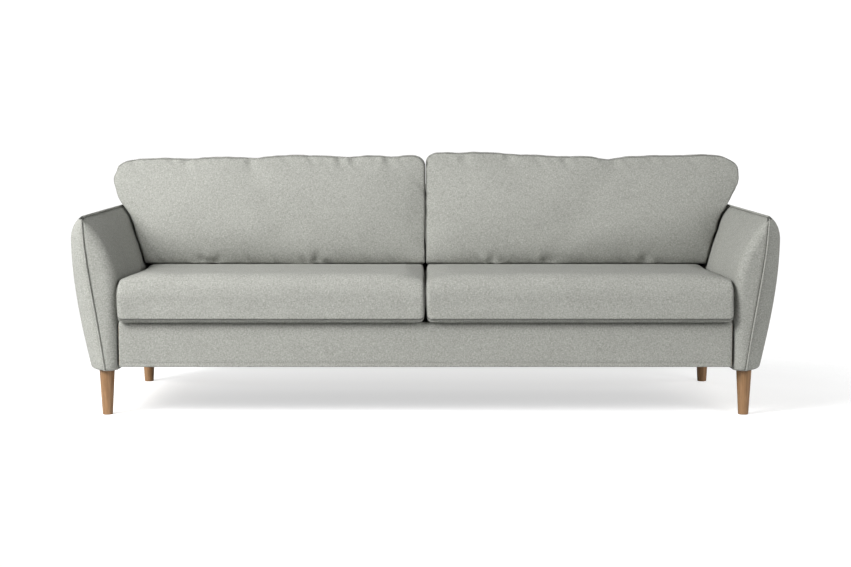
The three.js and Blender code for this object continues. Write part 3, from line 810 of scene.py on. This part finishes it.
def inflate(obj, pins, slack, cap, bending=2.0):
    """Blows the cover up as cloth round its filling, with the pinned points held, and keeps the result."""
    start = positions(obj)
    group = obj.vertex_groups.new(name="pins")
    for weight in np.unique(pins[pins > 0]):
        group.add([int(i) for i in np.nonzero(pins == weight)[0]], float(weight), "REPLACE")
    modifier = obj.modifiers.new("Cloth", "CLOTH")
    cloth = assign(modifier.settings, **CLOTH_SETTINGS, bending_stiffness=bending, shrink_min=-slack)
    cloth.effector_weights.gravity = 0
    modifier.collision_settings.use_self_collision = False
    assign(modifier.point_cache, frame_start=1, frame_end=CLOTH_FRAMES)
    scene = bpy.context.scene
    for number in range(1, CLOTH_FRAMES + 1):
        scene.frame_set(number)
    moved = positions(obj.evaluated_get(bpy.context.evaluated_depsgraph_get()))
    obj.modifiers.clear()
    obj.vertex_groups.clear()
    scene.frame_set(1)
    shift = eased(obj, moved - start) * (1 - pins)[:, None]
    length = np.linalg.norm(shift, axis=1)
    limit = cap * np.tanh(length / cap) / np.maximum(length, 1e-9)
    set_positions(obj, start + shift * limit[:, None])


def on_seams(points, seams):
    return distances(points, np.concatenate(seams)) < 0.0015


def cushion_piece(obj, name, fill):
    piece(obj, name, "upholstery", fabric, f"{name}_cover", f"{name}_core", fill=fill)


SEAT_SEAM = 0.0100  # height of the front's low seam over the cushion's underside
SEAT_TURN = 0.011  # how far the strip under that seam turns back under
SEAT_ROUND = 0.017  # radius of the front's upright edges and lower corners
SEAT_UNDERCUT = 0.006  # how far the front draws back towards the low seam
SEAT_SIDE = 0.0024  # the cover swells this far beyond its end seams
SEAT_SINK = 0.019  # the outline's top lies this far under the cushion's top
SEAT_CROWN = 0.017  # the rise over the outline's top at the cushion's front and rear edge
SEAT_CROWN_MIDDLE = 0.009  # what the middle of the depth adds
SEAT_ABOVE = 0.009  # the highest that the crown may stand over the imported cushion's top


def seat_profile():
    """The side view of a seat cushion as four sides, in y and z: front low, rear high."""
    y0, low, high = SEAT_FRONT + 0.002, SEAT_BOTTOM, SEAT_TOP - SEAT_SINK
    nose, r = 0.056, 0.026
    bottom_front, front_low = corner_halves(y0 + 0.014, low + 0.008, 0.014, 0.008, 270, -1, 5)
    front_top, top_front = corner_halves(y0 + nose + 0.002, high - nose, nose, nose, 180, -1, 8)
    rear_top, top_rear = corner_halves(SEAT_REAR - r, high - r, r, r, 90, -1, 4)
    low_rear, rear_low = corner_halves(SEAT_REAR - r, low + r, r, r, 0, -1, 4)
    front = np.concatenate([front_low, front_top])
    top = np.concatenate([top_front, rear_top])
    rear = np.concatenate([top_rear, low_rear])[::-1]
    bottom = np.concatenate([rear_low, bottom_front])[::-1]
    return bottom, rear, top, front


def build_seat_cushion(side, seed):
    sign = 1 if side == "right" else -1
    inner, outer = GAP / 2 + SEAT_SIDE, INNER_X - GAP / 2 - SEAT_SIDE
    us = edge_shares(44, SEAT_REAR - SEAT_FRONT)
    near = (0.002, 0.004, 0.006, 0.008, 0.010, 0.0125, 0.0155, 0.020, 0.027)
    vs = edge_shares(10, SEAT_TOP - SEAT_BOTTOM, near)
    ws = edge_shares(64, outer - inner)

    def round_off(share):
        """The height of a round edge at a share of its radius from its inner end."""
        return SEAT_ROUND * (1 - np.sqrt(1 - share**2))

    def place(points, w, bulge, outward):
        y, z = points.T.copy()
        x = np.full(len(points), inner + (outer - inner) * w)
        from_middle = abs(2 * w - 1)
        if outward is None:
            x += (2 * w - 1) * SEAT_SIDE * 0.8 * bulge
        else:
            # The top crowns towards the middle, and lies level under the back cushion.
            upper = clipped((z - SEAT_BOTTOM - 0.06) / 0.05)
            depthwise = 1 - np.abs(2 * (y - SEAT_FRONT) / (SEAT_REAR - SEAT_FRONT) - 1) ** 3
            pressed = clipped((y - 0.03) / 0.10)
            crown = (1 - pressed) * (1 - 0.55 * from_middle**9) * (SEAT_CROWN + SEAT_CROWN_MIDDLE * depthwise)
            z += upper * (crown + pressed * (1 - 0.15 * from_middle**24) * SEAT_SINK)
        # The front's upright edges and lower corners are round.
        turn = round_off(1 - min(1, min(w, 1 - w) * (outer - inner) / SEAT_ROUND))
        y += 0.8 * turn * clipped(1 - (y - SEAT_FRONT) / 0.05)
        z += turn * clipped(1 - (z - SEAT_BOTTOM) / 0.06)
        return np.stack([sign * x, y, z], axis=1)

    obj, seams = boxed(f"seat_cushion_cloth_{side}", seat_profile(), us, vs, ws, place)
    points = positions(obj)
    pinned = (points[:, 2] < SEAT_BOTTOM + 0.03) | on_seams(points, seams)
    inflate(obj, np.where(pinned, 1.0, 0.0), slack=0.003, cap=0.008)
    above = clipped((positions(obj)[:, 2] - SEAT_BOTTOM - 0.03) / 0.03)
    swell(obj, seed, (0.0012, 0, 15, 1, 11), (0.0006, 0, 31, 2, 29), share=above)
    subdivide(obj)
    for k, seam in enumerate(seams):
        gathers(obj, seam, 0.0007, 0.035, seed + 30 + k)
        # The seams are pulled in, and painted shade goes along them.
        sink_along(obj, dense_loop(seam), 0.0022, 0.0038)
    # The front's low seam, with a groove and a ridge over it, painted shade in the groove, and the cloth turned
    # back under it.
    points = positions(obj)
    facing = facing_front(normals(obj))
    from_end = np.minimum(np.abs(points[:, 0]) - inner, outer - np.abs(points[:, 0]))
    rise = points[:, 2] - SEAT_BOTTOM - round_off(clipped(1 - from_end / SEAT_ROUND))
    turned = SEAT_TURN * clipped((SEAT_SEAM - rise) / SEAT_SEAM)
    turned += SEAT_UNDERCUT * clipped(1 - (rise - SEAT_SEAM) / 0.075) ** 2
    groove = 0.0026 * bell(rise - SEAT_SEAM, 0.0015)
    ridge = 0.0010 * bell(rise - SEAT_SEAM - 0.0035, 0.0018)
    points[:, 1] += facing * (turned + groove - ridge)
    # Painted shade along the low seam's groove, on the front only.
    paint_shade_in_seams(obj, np.where(facing > 0.3, rise - SEAT_SEAM, 1.0), 0.0014)
    # Nothing goes past the space that the cushion has.
    under_rest = clipped((points[:, 1] - 0.05) / 0.09)
    points[:, 2] = np.maximum(points[:, 2], SEAT_BOTTOM)
    points[:, 2] = np.minimum(points[:, 2], SEAT_TOP + SEAT_ABOVE * (1 - under_rest))
    points[:, 1] = np.clip(points[:, 1], SEAT_FRONT - 0.003, SEAT_REAR)
    points[:, 0] = sign * np.clip(sign * points[:, 0], GAP / 2, INNER_X - GAP / 2)
    set_positions(obj, points)
    cushion_piece(obj, f"seat_cushion_{side}", fill=0.9)


FOLD_DEPTH = 1.9  # what the depths of the folds below are multiplied by
REST_CORNER = 0.011
REST_SEAM = 0.003  # the band swells this far beyond the seams
REST_CLEAR = 0.0015  # between a back cushion and the arm
REST_FOOT = 0.190  # thickness of a back cushion at its foot
REST_TAPER = 0.076  # how much thinner it is at its top
REST_REAR = 0.018  # the rear seam lies this far before the back
FOOT_TURN = 0.024  # how far and how high the foot's front turns in
EAR_SWELL = 0.009

# The upper outline of each back cushion in millimetres, from over the arm round the ear to the middle: how
# far in from the cushion's outer side, and how far below its top.
EAR_LEFT = [(29, 180), (20, 165), (14, 150), (10, 135), (5, 120), (0.5, 106), (0, 98), (0.5, 90), (4, 76),
            (11, 61), (18, 46)]
TOP_LEFT = [(18, 46), (33, 32), (62, 20), (91, 18), (126, 17), (163, 15), (201, 15), (238, 17), (275, 20),
            (310, 15), (355, 13), (394, 12), (430, 12), (468, 11), (490, 13), (513, 17), (536, 12), (602, 6),
            (650, 4), (691, 4.5), (760, 6), (800, 8), (840, 11.5), (875, 9), (929, 6), (980, 8), (1018, 12.5),
            (1050, 8), (1085, 5), (1106, 5)]
EAR_RIGHT = [(34, 180), (28, 165), (21, 150), (12, 135), (2, 120), (-3, 108), (-5, 98), (-5.8, 84), (-6, 76),
             (-5, 61), (-1.5, 46)]
TOP_RIGHT = [(-1.5, 46), (9, 31), (33, 17), (50, 9), (80, 4.5), (124, 3), (170, 5), (228, 6), (290, 5),
             (347, 8), (400, 9), (436, 15), (466, 20.5), (496, 15), (525, 11), (555, 8), (600, 9), (644, 9),
             (690, 7), (733, 4), (765, 3.5), (793, 5), (852, -1), (900, -5), (971, -6), (1016, -3),
             (1050, -5.5), (1085, -6), (1106, -6)]
# Folds as (start, end, width, depth): x counts out from the middle, and a fold is deepest near its start.
LEFT_CREASES = [
    ((0.883, 0.848), (0.880, 0.80), 0.012, 0.003),
    ((0.645, 0.850), (0.640, 0.80), 0.011, 0.0042),
    ((0.318, 0.857), (0.300, 0.79), 0.011, 0.0040),
    ((0.268, 0.857), (0.262, 0.80), 0.010, 0.0028),
    ((0.140, 0.856), (0.128, 0.79), 0.012, 0.0045),
    ((0.812, 0.468), (0.850, 0.520), 0.012, 0.0045),
    ((0.765, 0.466), (0.735, 0.510), 0.012, 0.004),
    ((0.405, 0.466), (0.385, 0.530), 0.011, 0.0045),
    ((0.432, 0.466), (0.450, 0.505), 0.010, 0.003),
]
RIGHT_CREASES = [
    ((0.142, 0.864), (0.150, 0.80), 0.012, 0.003),
    ((0.300, 0.862), (0.305, 0.81), 0.011, 0.003),
    ((0.515, 0.853), (0.520, 0.80), 0.011, 0.0028),
    ((0.692, 0.840), (0.702, 0.79), 0.012, 0.0028),
    ((0.240, 0.466), (0.258, 0.530), 0.011, 0.0045),
    ((0.275, 0.466), (0.272, 0.510), 0.010, 0.0035),
    ((0.430, 0.466), (0.455, 0.512), 0.011, 0.004),
    ((0.455, 0.466), (0.470, 0.500), 0.010, 0.003),
    ((0.790, 0.466), (0.815, 0.520), 0.012, 0.004),
]


def rest_sides(ear, top_line):
    """The front view of a back cushion as four sides, in x and z."""
    inner, bottom, r, q = GAP / 2 - 0.0015, REST_BOTTOM - 0.003, REST_CORNER, 0.040
    ear, top_line = (
        np.array([(EAR_X - x / 1000, REST_TOP - z / 1000) for x, z in line]) for line in (ear, top_line)
    )
    for line in (ear, top_line):
        line[:, 0] += EAR_SWELL * clipped((line[:, 0] - 0.9) / 0.2)
    heights = np.linspace(bottom + r, ear[0][1] - 0.03, 12)
    beside = np.array([(float(beside_arm(z)) - REST_CLEAR, z) for z in heights])
    peak = top_line[-1][1] - 0.002
    low_outer, up_outer = corner_halves(beside[0][0] - r, bottom + r, r, r, 270, 1, 6)
    top_inner, in_top = corner_halves(inner + q, peak - q, q, q, 90, 1, 6)
    in_low, low_inner = corner_halves(inner + r, bottom + r, r, r, 180, 1, 6)
    right = smooth_line(np.concatenate([up_outer, beside[1:], ear]))
    upper = smooth_line(np.concatenate([top_line, top_inner]))
    left = np.concatenate([in_top, in_low])
    low = np.concatenate([low_inner, low_outer])
    return inset_sides((low, right, upper[::-1], left[::-1]), REST_SEAM)


def build_back_cushion(side, seed, ear, top_line, creases):
    sign = 1 if side == "right" else -1
    sides = rest_sides(ear, top_line)
    us, vs = edge_shares(96, 1.1), edge_shares(34, 0.39)
    ws = np.array([0, 0.03, 0.08, 0.17, 0.3, 0.45, 0.6, 0.73, 0.85, 0.93, 0.975, 1])

    def place(points, w, bulge, outward):
        x, z = points.T.copy()
        against = back_front_y(z) - GAP
        rear = against - REST_REAR
        front = against - (REST_FOOT - REST_TAPER * clipped((z - REST_BOTTOM) / (REST_TOP - REST_BOTTOM)))
        y = rear + (front - rear) * w + FOOT_TURN * np.exp(-(z - REST_BOTTOM) / FOOT_TURN) * w**3
        if outward is None:
            y += bulge * (-0.044 if w > 0.5 else 0.016)
        else:
            x += outward[:, 0] * REST_SEAM * 0.85 * bulge
            z += outward[:, 1] * REST_SEAM * 0.85 * bulge
        return np.stack([sign * x, y, z], axis=1)

    obj, seams = boxed(f"back_cushion_cloth_{side}", sides, us, vs, ws, place)
    points = positions(obj)
    x, z = np.concatenate(sides).T
    outline = dense(np.column_stack([sign * x, np.zeros(len(x)), z]))
    band = distances(points * [1, 0, 1], outline) < REST_SEAM * 1.2
    pins = np.where(on_seams(points, seams), 1.0, np.where(band, 0.6, 0.0))
    inflate(obj, pins, slack=0.006, cap=0.016, bending=6.0)
    swell(obj, seed, (0.0022, 0, 8, 2, 10), (0.0010, 0, 19, 2, 17))
    subdivide(obj)
    gathers(obj, seams[1], 0.0024, 0.028, seed + 40)
    gathers(obj, seams[0], 0.0016, 0.028, seed + 50)
    for (x0, z0), (x1, z1), width, depth in creases:
        crease(obj, (sign * x0, z0), (sign * x1, z1), width, depth * FOLD_DEPTH)
    # The seams are pulled in, and painted shade goes along them.
    for seam in seams:
        sink_along(obj, dense_loop(seam), 0.0030, 0.0040)
    # Nothing goes past the back, the seat, the middle or the arm.
    points = positions(obj)
    points[:, 1] = np.minimum(points[:, 1], back_front_y(points[:, 2]) - 0.0012)
    points[:, 2] = np.maximum(points[:, 2], REST_BOTTOM)
    middle, soft = 0.0004, 0.0005
    reach = middle + soft * np.logaddexp(0, (sign * points[:, 0] - middle) / soft)
    beside = np.minimum(reach, beside_arm(points[:, 2], points[:, 1]) - REST_CLEAR)
    points[:, 0] = sign * np.where(points[:, 2] < ARM_TOP + 0.004, beside, reach)
    set_positions(obj, points)
    cushion_piece(obj, f"back_cushion_{side}", fill=0.75)


# ---- Back, front panel, dark linings that paint shade, legs, deck ----
BACK_CORNER = 0.060
BOARD = 0.0084  # the rear panel with the board under it
CLEAR = 0.0004  # between a cloth and the timber behind it
APRON_SETBACK = 0.010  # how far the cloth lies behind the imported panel's face, in the cushions' shade
APRON_SIDE = 0.003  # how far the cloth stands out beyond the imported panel's ends
APRON_HEM = 0.0115
SHADE_LINING_THICKNESS = 0.0008
FOOT_RADIUS = 0.017  # of a leg on the floor
LEG_EDGE = 0.0022  # radius of its lower edge
LEG_CHAMFER = 0.0012


def back_sides(inset):
    """The back's outline as four sides, in x and z, for the whole width."""
    half, low, r = BACK_HIGH[0], BACK_LOW[2] + inset, BACK_CORNER - inset
    heights = np.linspace(low, BACK_TOP - BACK_CORNER, 30)
    edge = np.array([(min(half, float(beside_arm(z)) - 0.003) - inset, z) for z in heights])
    turn_side, turn_top = corner_halves(half - BACK_CORNER, BACK_TOP - BACK_CORNER, r, r, 0, 1, 8)
    right = np.concatenate([edge, turn_side[1:]])
    left = right * [-1, 1]
    top = np.concatenate([turn_top, (turn_top * [-1, 1])[::-1]])[::-1]
    return np.array([left[0], right[0]]), right, top, left


def build_back():
    def cover_place(points, w, bulge, outward):
        x, z = points.T.copy()
        rear, front = rear_y(z) - BOARD - 0.0006, back_front_y(z) + 0.016
        y = rear + (front - rear) * w
        if outward is None:
            y -= 0.0145 * clipped(bulge * 6) ** 0.5 * w
        elif w > 0.5:
            turned = 0.010 * math.sin(math.pi * (w - 0.5)) ** 4
            x -= outward[:, 0] * turned
            z -= outward[:, 1] * turned
        return np.stack([x, y, z], axis=1)

    def panel_place(points, w, bulge, outward):
        x, z = points.T.copy()
        y = rear_y(z) - 0.0078 + 0.0053 * w
        if outward is None:
            y += 0.0022 * clipped(bulge * 4) * w
        return np.stack([x, y, z], axis=1)

    us, vs, ws = edge_shares(80, 2.1), edge_shares(26, 0.58), np.array([0, 0.06, 0.2, 0.5, 0.8, 0.94, 1])
    for name, inset, place, amount, rate, seed, node, fill in (
        ("back_upholstery", 0.0, cover_place, 0.0007, 9, 5, "back_cover", 0.85),
        ("back_rear_panel", 0.0035, panel_place, 0.0004, 7, 6, "back_panel", 0.9),
    ):
        obj, _ = boxed(name, back_sides(inset), us, vs, ws, place)
        subdivide(obj)
        padded_look(obj, amount, rate, seed)
        piece(obj, "frame", "upholstery", fabric, node, fill=fill)
    _, right, top, left = back_sides(0.002)
    loop = np.concatenate([right, top[::-1][1:-1], left[::-1]])
    route = [(x, rear_y(z) - 0.0015, z) for x, z in resample(loop, np.linspace(0, 1, 500))]
    piece(sweep("back_rear_welt", route, 0.0026, sides=8), "frame", "piping", piping_fabric)


def build_front_panel():
    """The cloth under the seat: it wraps the front rail above and below, with a hem at its lower edge."""
    (x0, y0, z0), (x1, y1, z1) = box("front_panel")
    rail_low, rail_high = box("seat_front_rail")
    r, r_top = 0.003, 0.011
    x0, x1, y0 = x0 - APRON_SIDE, x1 + APRON_SIDE, y0 + APRON_SETBACK
    y_rail = rail_low[1] - CLEAR
    zs = [z0 + r * (1 - math.cos(a)) for a in np.radians([0, 30, 60, 90])]
    zs += [z0 + 0.0095, z0 + APRON_HEM, z0 + 0.0135, z0 + 0.017, *np.linspace(z0 + 0.026, z1 - 0.02, 16)]
    zs += [z1 - r_top * (1 - math.cos(a)) for a in np.radians([90, 70, 50, 30, 0])]
    behind = [(y1, z1), (y1, rail_high[2] + CLEAR), (y_rail, rail_high[2] + CLEAR)]
    behind += [(y_rail, rail_low[2] - CLEAR), (y1, rail_low[2] - CLEAR), (y1, z0)]
    rings = []
    for x in x0 + (x1 - x0) * edge_shares(120, x1 - x0, (0.002, 0.005, 0.010, 0.018)):
        tuck = 0.003 * math.exp(-min(x - x0, x1 - x) / 0.004)
        ring = []
        for z in zs:
            inset = 0.0
            if z < z0 + r:
                inset = r - math.sqrt(max(0, r**2 - (z0 + r - z) ** 2))
            elif z > z1 - r_top:
                inset = r_top - math.sqrt(max(0, r_top**2 - (z - z1 + r_top) ** 2))
            crown = -0.0016 * math.sin(math.pi * (z - z0) / (z1 - z0))
            wave = 0.0005 * math.sin(x * 8.3 + 1) * math.sin((z - z0) * 27) + 0.0003 * math.sin(x * 23)
            fold = 0.0012 * bell(z - z0 - APRON_HEM, 0.0022)
            ring.append((x, min(y0 + inset + tuck + crown + wave + fold, y_rail + 0.008), z))
        rings.append(ring + [(x, y, z) for y, z in behind])
    obj = capped("front_panel_cloth", [rings])
    obj.data.set_sharp_from_angle(angle=math.radians(50))
    piece(obj, "frame", "upholstery", fabric, "front_panel", fill=0.9)


def build_shade_linings():
    """Dark cloth over the ends of the front rail, seen in the slits beside the arms: painted shade, a dark sheet
    that makes them look deep and unlit.
    """
    low, high = box("seat_front_rail")
    x0, x1 = high[0] + CLEAR, high[0] + CLEAR + SHADE_LINING_THICKNESS
    outline = [(x0, high[1]), (x0, low[1] - CLEAR), (x1, low[1] - CLEAR), (x1, high[1])]
    heights = np.linspace(low[2] - CLEAR, high[2] + CLEAR, 8)
    for side, sign in (("left", -1), ("right", 1)):
        rings = [[(sign * x, y, z) for x, y in outline] for z in heights]
        # A dark sheet: painted shade in the slit beside the arm.
        shade_lining = capped(f"rail_end_shade_lining_{side}", [rings], smooth=False)
        piece(shade_lining, "frame", "dust_cloth", dust_fabric)


def build_legs():
    low, high = box("leg_front_right")
    radius, height = (high[0] - low[0]) / 2, high[2]
    flat = FOOT_RADIUS - LEG_EDGE
    profile = [(0.0001, 0.0), (flat, 0.0), *arc(flat, LEG_EDGE, LEG_EDGE, LEG_EDGE, -60, 0, 4)]
    profile += [
        (FOOT_RADIUS + (radius - FOOT_RADIUS) * s, LEG_EDGE + (height - LEG_EDGE - LEG_CHAMFER) * s)
        for s in np.linspace(0, 1, 24)[1:-1]
    ]
    profile += [(radius, height - LEG_CHAMFER), (radius - LEG_CHAMFER, height), (0.0001, height)]
    turns = np.arange(56) * 2 * math.pi / 56
    for end in ("front", "rear"):
        for side in ("left", "right"):
            node = f"leg_{end}_{side}"
            low, high = box(node)
            x, y, _ = (low + high) / 2
            rings = [[(x + r * math.cos(a), y + r * math.sin(a), z + low[2]) for a in turns] for r, z in profile]
            leg = capped(f"turned_{node}", [rings])
            leg.data.set_sharp_from_angle(angle=math.radians(35))
            piece(leg, "frame", "oak", oak, node)


def build_deck():
    low, high = box("seat_deck")
    xs = low[0] + (high[0] - low[0]) * edge_shares(60, high[0] - low[0])
    ys = low[1] + (high[1] - low[1]) * edge_shares(24, high[1] - low[1])
    top = []
    for x in xs:
        for y in ys:
            edge = min(x - low[0], high[0] - x, y - low[1], high[1] - y)
            waves = 0.0008 * (1 + math.sin(x * 21) * math.sin(y * 17))
            z = high[2] - 0.0035 * math.exp(-edge / 0.006) - waves - 0.0016 * bell(x, 0.003)
            top.append((x, y, z))
    nx, ny = len(xs), len(ys)
    faces = grid_faces(nx, ny, turned=True) + grid_faces(nx, ny, start=nx * ny)
    rim = grid_rim(nx, ny)
    faces += [(a, b, b + nx * ny, a + nx * ny) for a, b in zip(rim, rim[1:] + rim[:1])]
    obj = to_object("deck_cloth", top + [(x, y, low[2] + 0.0003) for x, y, _ in top], faces)
    obj.data.set_sharp_from_angle(angle=math.radians(60))
    piece(obj, "frame", "deck_cloth", deck_fabric, "seat_deck")


# ---- Dust cover ----
DUST_SAG = 0.005
DUST_HEM = 0.015
DUST_CLOTH = 0.0007
STAPLE_STEP = 0.11
STAPLE_INSET = 0.009
STAPLE_HALF = 0.005
STAPLE_WIRE = 0.0005


def build_dust_cover():
    """The cloth under the seat, stretched over the frame, its edges turned in and stapled."""
    low, high = box("dust_cover")
    near = (0.007, 0.0145, 0.0165, 0.03)
    xs = low[0] + (high[0] - low[0]) * edge_shares(110, high[0] - low[0], near)
    ys = low[1] + (high[1] - low[1]) * edge_shares(48, high[1] - low[1], near)
    x, y = np.meshgrid(xs, ys, indexing="ij")
    u, v = (2 * (c - a) / (b - a) - 1 for c, a, b in ((x, low[0], high[0]), (y, low[1], high[1])))
    edge = np.minimum(np.minimum(x - low[0], high[0] - x), np.minimum(y - low[1], high[1] - y))
    sag = DUST_SAG * (1 - np.abs(u) ** 8) * (1 - np.abs(v) ** 3)
    pulled = 0.0005 * np.sin(2 * math.pi * (x + y) / STAPLE_STEP) * np.exp(-edge / 0.03)
    z = high[2] - 0.0002 - sag - 0.0006 * eased_step((DUST_HEM - edge) / 0.001) - np.abs(pulled)
    cover = sheet_from_rows("dust_cover_cloth", np.stack([x, y, z], axis=2))
    orient(cover, (0, 0, high[2]), (0, 0, -1))
    solidify(cover, DUST_CLOTH)
    piece(cover, "frame", "dust_cloth", dust_fabric, "dust_cover")
    staples = build_staples(low, high)


def build_staples(low, high):
    """Staples along the hem, as one piece."""
    level, bend = low[2] - 0.0004, 0.0006
    # One staple, seen from the side: each place along its wire, and the wire's direction across.
    wire = [(-STAPLE_HALF, 0.0018, 0, -1), (-STAPLE_HALF, bend, 0.4, -0.9), (-STAPLE_HALF + bend, 0, 0.9, -0.4)]
    wire += [(-s, up, ds, -du) for s, up, ds, du in wire[::-1]]
    around = [(STAPLE_WIRE * math.cos(t), STAPLE_WIRE * math.sin(t)) for t in np.radians(np.arange(0, 360, 45))]
    staples = []
    for axis in (0, 1):
        start, length = low[axis], high[axis] - low[axis]
        steps = round(length / STAPLE_STEP)
        for k in range(steps):
            run = start + (k + 0.5) * length / steps
            for side in (low[1 - axis] + STAPLE_INSET, high[1 - axis] - STAPLE_INSET):
                rings = [
                    [(run + s - du * c, side + t, level + up + ds * c) for c, t in around]
                    for s, up, ds, du in wire
                ]
                staples.append([[(y, x, z) if axis else (x, y, z) for x, y, z in ring] for ring in rings])
    obj = capped("dust_cover_staples", staples)
    piece(obj, "frame", "steel", steel)
    return obj


# ---- CAD nodes that keep their shape ----
def dress_frame():
    along_y = ("arm_bottom_rail", "arm_top_rail", "seat_side_rail", "seat_centre_rail")
    for name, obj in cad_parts.items():
        for matches, material in (
            (name.startswith(("hanger_bolt", "threaded_insert", "arm_bolt")), steel),
            (name.startswith("seat_webbing"), webbing_fabric),
            (name.endswith("_core"), foam_cells),
            ("post" in name, pine_z),
            (name.startswith(along_y), pine_y),
            ("rail" in name, pine_x),
        ):
            if matches:
                dress(obj, material)
                break


# ---- Scene ----
FLOOR_HALF = 3.2
AIM = (0, 0, 0.4)
REAR_AIM = (0, 0.4, 0.3)
LIGHTS = (  # name, place, target, size and power
    ("key", (-3.2, -3.2, 2.9), AIM, (2.2, 2.2), 218),
    ("key_side", (-3.6, -2.5, 3.1), AIM, (2.0, 2.0), 137),
    ("high", (-2.6, -2.4, 4.2), AIM, (2.4, 2.4), 70),
    ("fill", (3.2, -4.0, 2.2), AIM, (2.5, 2.5), 131),
    ("left", (-4.0, 0.0, 1.3), AIM, (2.5, 2.0), 58),
    ("right", (4.0, 0.0, 1.3), AIM, (2.5, 2.0), 46),
    ("rear_left", (-2.6, 4.6, 2.0), REAR_AIM, (3.0, 2.0), 70),
    ("rear_right", (2.6, 4.6, 2.0), REAR_AIM, (3.0, 2.0), 55),
)


def camera_ray(n):
    return n.add("ShaderNodeLightPath").outputs["Is Camera Ray"]


def build_stage():
    mesh = bpy.data.meshes.new("floor")
    s = FLOOR_HALF
    mesh.from_pydata([(-s, -s, 0), (s, -s, 0), (s, s, 0), (-s, s, 0)], [], [(0, 1, 2, 3)])
    floor = add_object("floor", mesh)
    material, n, shader = node_material("pale_floor")
    n.put(shader, {
        "Base Color": (0.6, 0.6, 0.6, 1),
        "Roughness": 0.9,
        "Specular IOR Level": 0.1,
        "Emission Color": (1, 1, 1, 1),
        "Emission Strength": n.times(camera_ray(n), 0.565),
    })
    # The floor fades into the white studio at its rim.
    oval = n.scaled(n.place(), (0.38, 0.50, 1.0))
    away = n.add("ShaderNodeVectorMath", {0: oval}, operation="LENGTH").outputs["Value"]
    clear = n.ramp(away, 0.52, 0.98, interpolation_type="SMOOTHSTEP")
    see_through = n.add("ShaderNodeBsdfTransparent").outputs[0]
    mixed = n.add("ShaderNodeMixShader", {0: clear, 1: shader.outputs[0], 2: see_through}).outputs[0]
    n.put(n.tree.nodes["Material Output"], {"Surface": mixed})
    dress(floor, material)


def build_lights():
    world = bpy.data.worlds.new("studio")
    bpy.context.scene.world = world
    world.use_nodes = True
    n = Nodes(world.node_tree)
    strength = n.between(camera_ray(n), 0.02, 1.05)
    n.put(world.node_tree.nodes["Background"], {"Color": (1, 1, 1, 1), "Strength": strength})
    for name, place, target, (width, height), power in LIGHTS:
        light = bpy.data.lights.new(name, "AREA")
        assign(light, shape="RECTANGLE", size=width, size_y=height, energy=power)
        obj = add_object(name, light)
        obj.location = place
        obj.rotation_euler = (Vector(target) - Vector(place)).to_track_quat("-Z", "Y").to_euler()


def build_camera():
    camera = assign(bpy.data.cameras.new("camera"), lens=64.95, sensor_width=36.0, clip_end=200)
    obj = add_object("camera", camera)
    obj.location = (0.0, -5.434, 0.843)
    obj.rotation_euler = (math.radians(90 - 4.62), 0, 0)
    bpy.context.scene.camera = obj


build_camera()
build_arms()
build_back()
build_front_panel()
build_shade_linings()
build_legs()
build_deck()
build_dust_cover()
dress_frame()
build_seat_cushion("left", 11)
build_seat_cushion("right", 12)
build_back_cushion("left", 21, EAR_LEFT, TOP_LEFT, LEFT_CREASES)
build_back_cushion("right", 22, EAR_RIGHT, TOP_RIGHT, RIGHT_CREASES)
build_stage()
build_lights()
bpy.context.scene.view_settings.view_transform = "Standard"
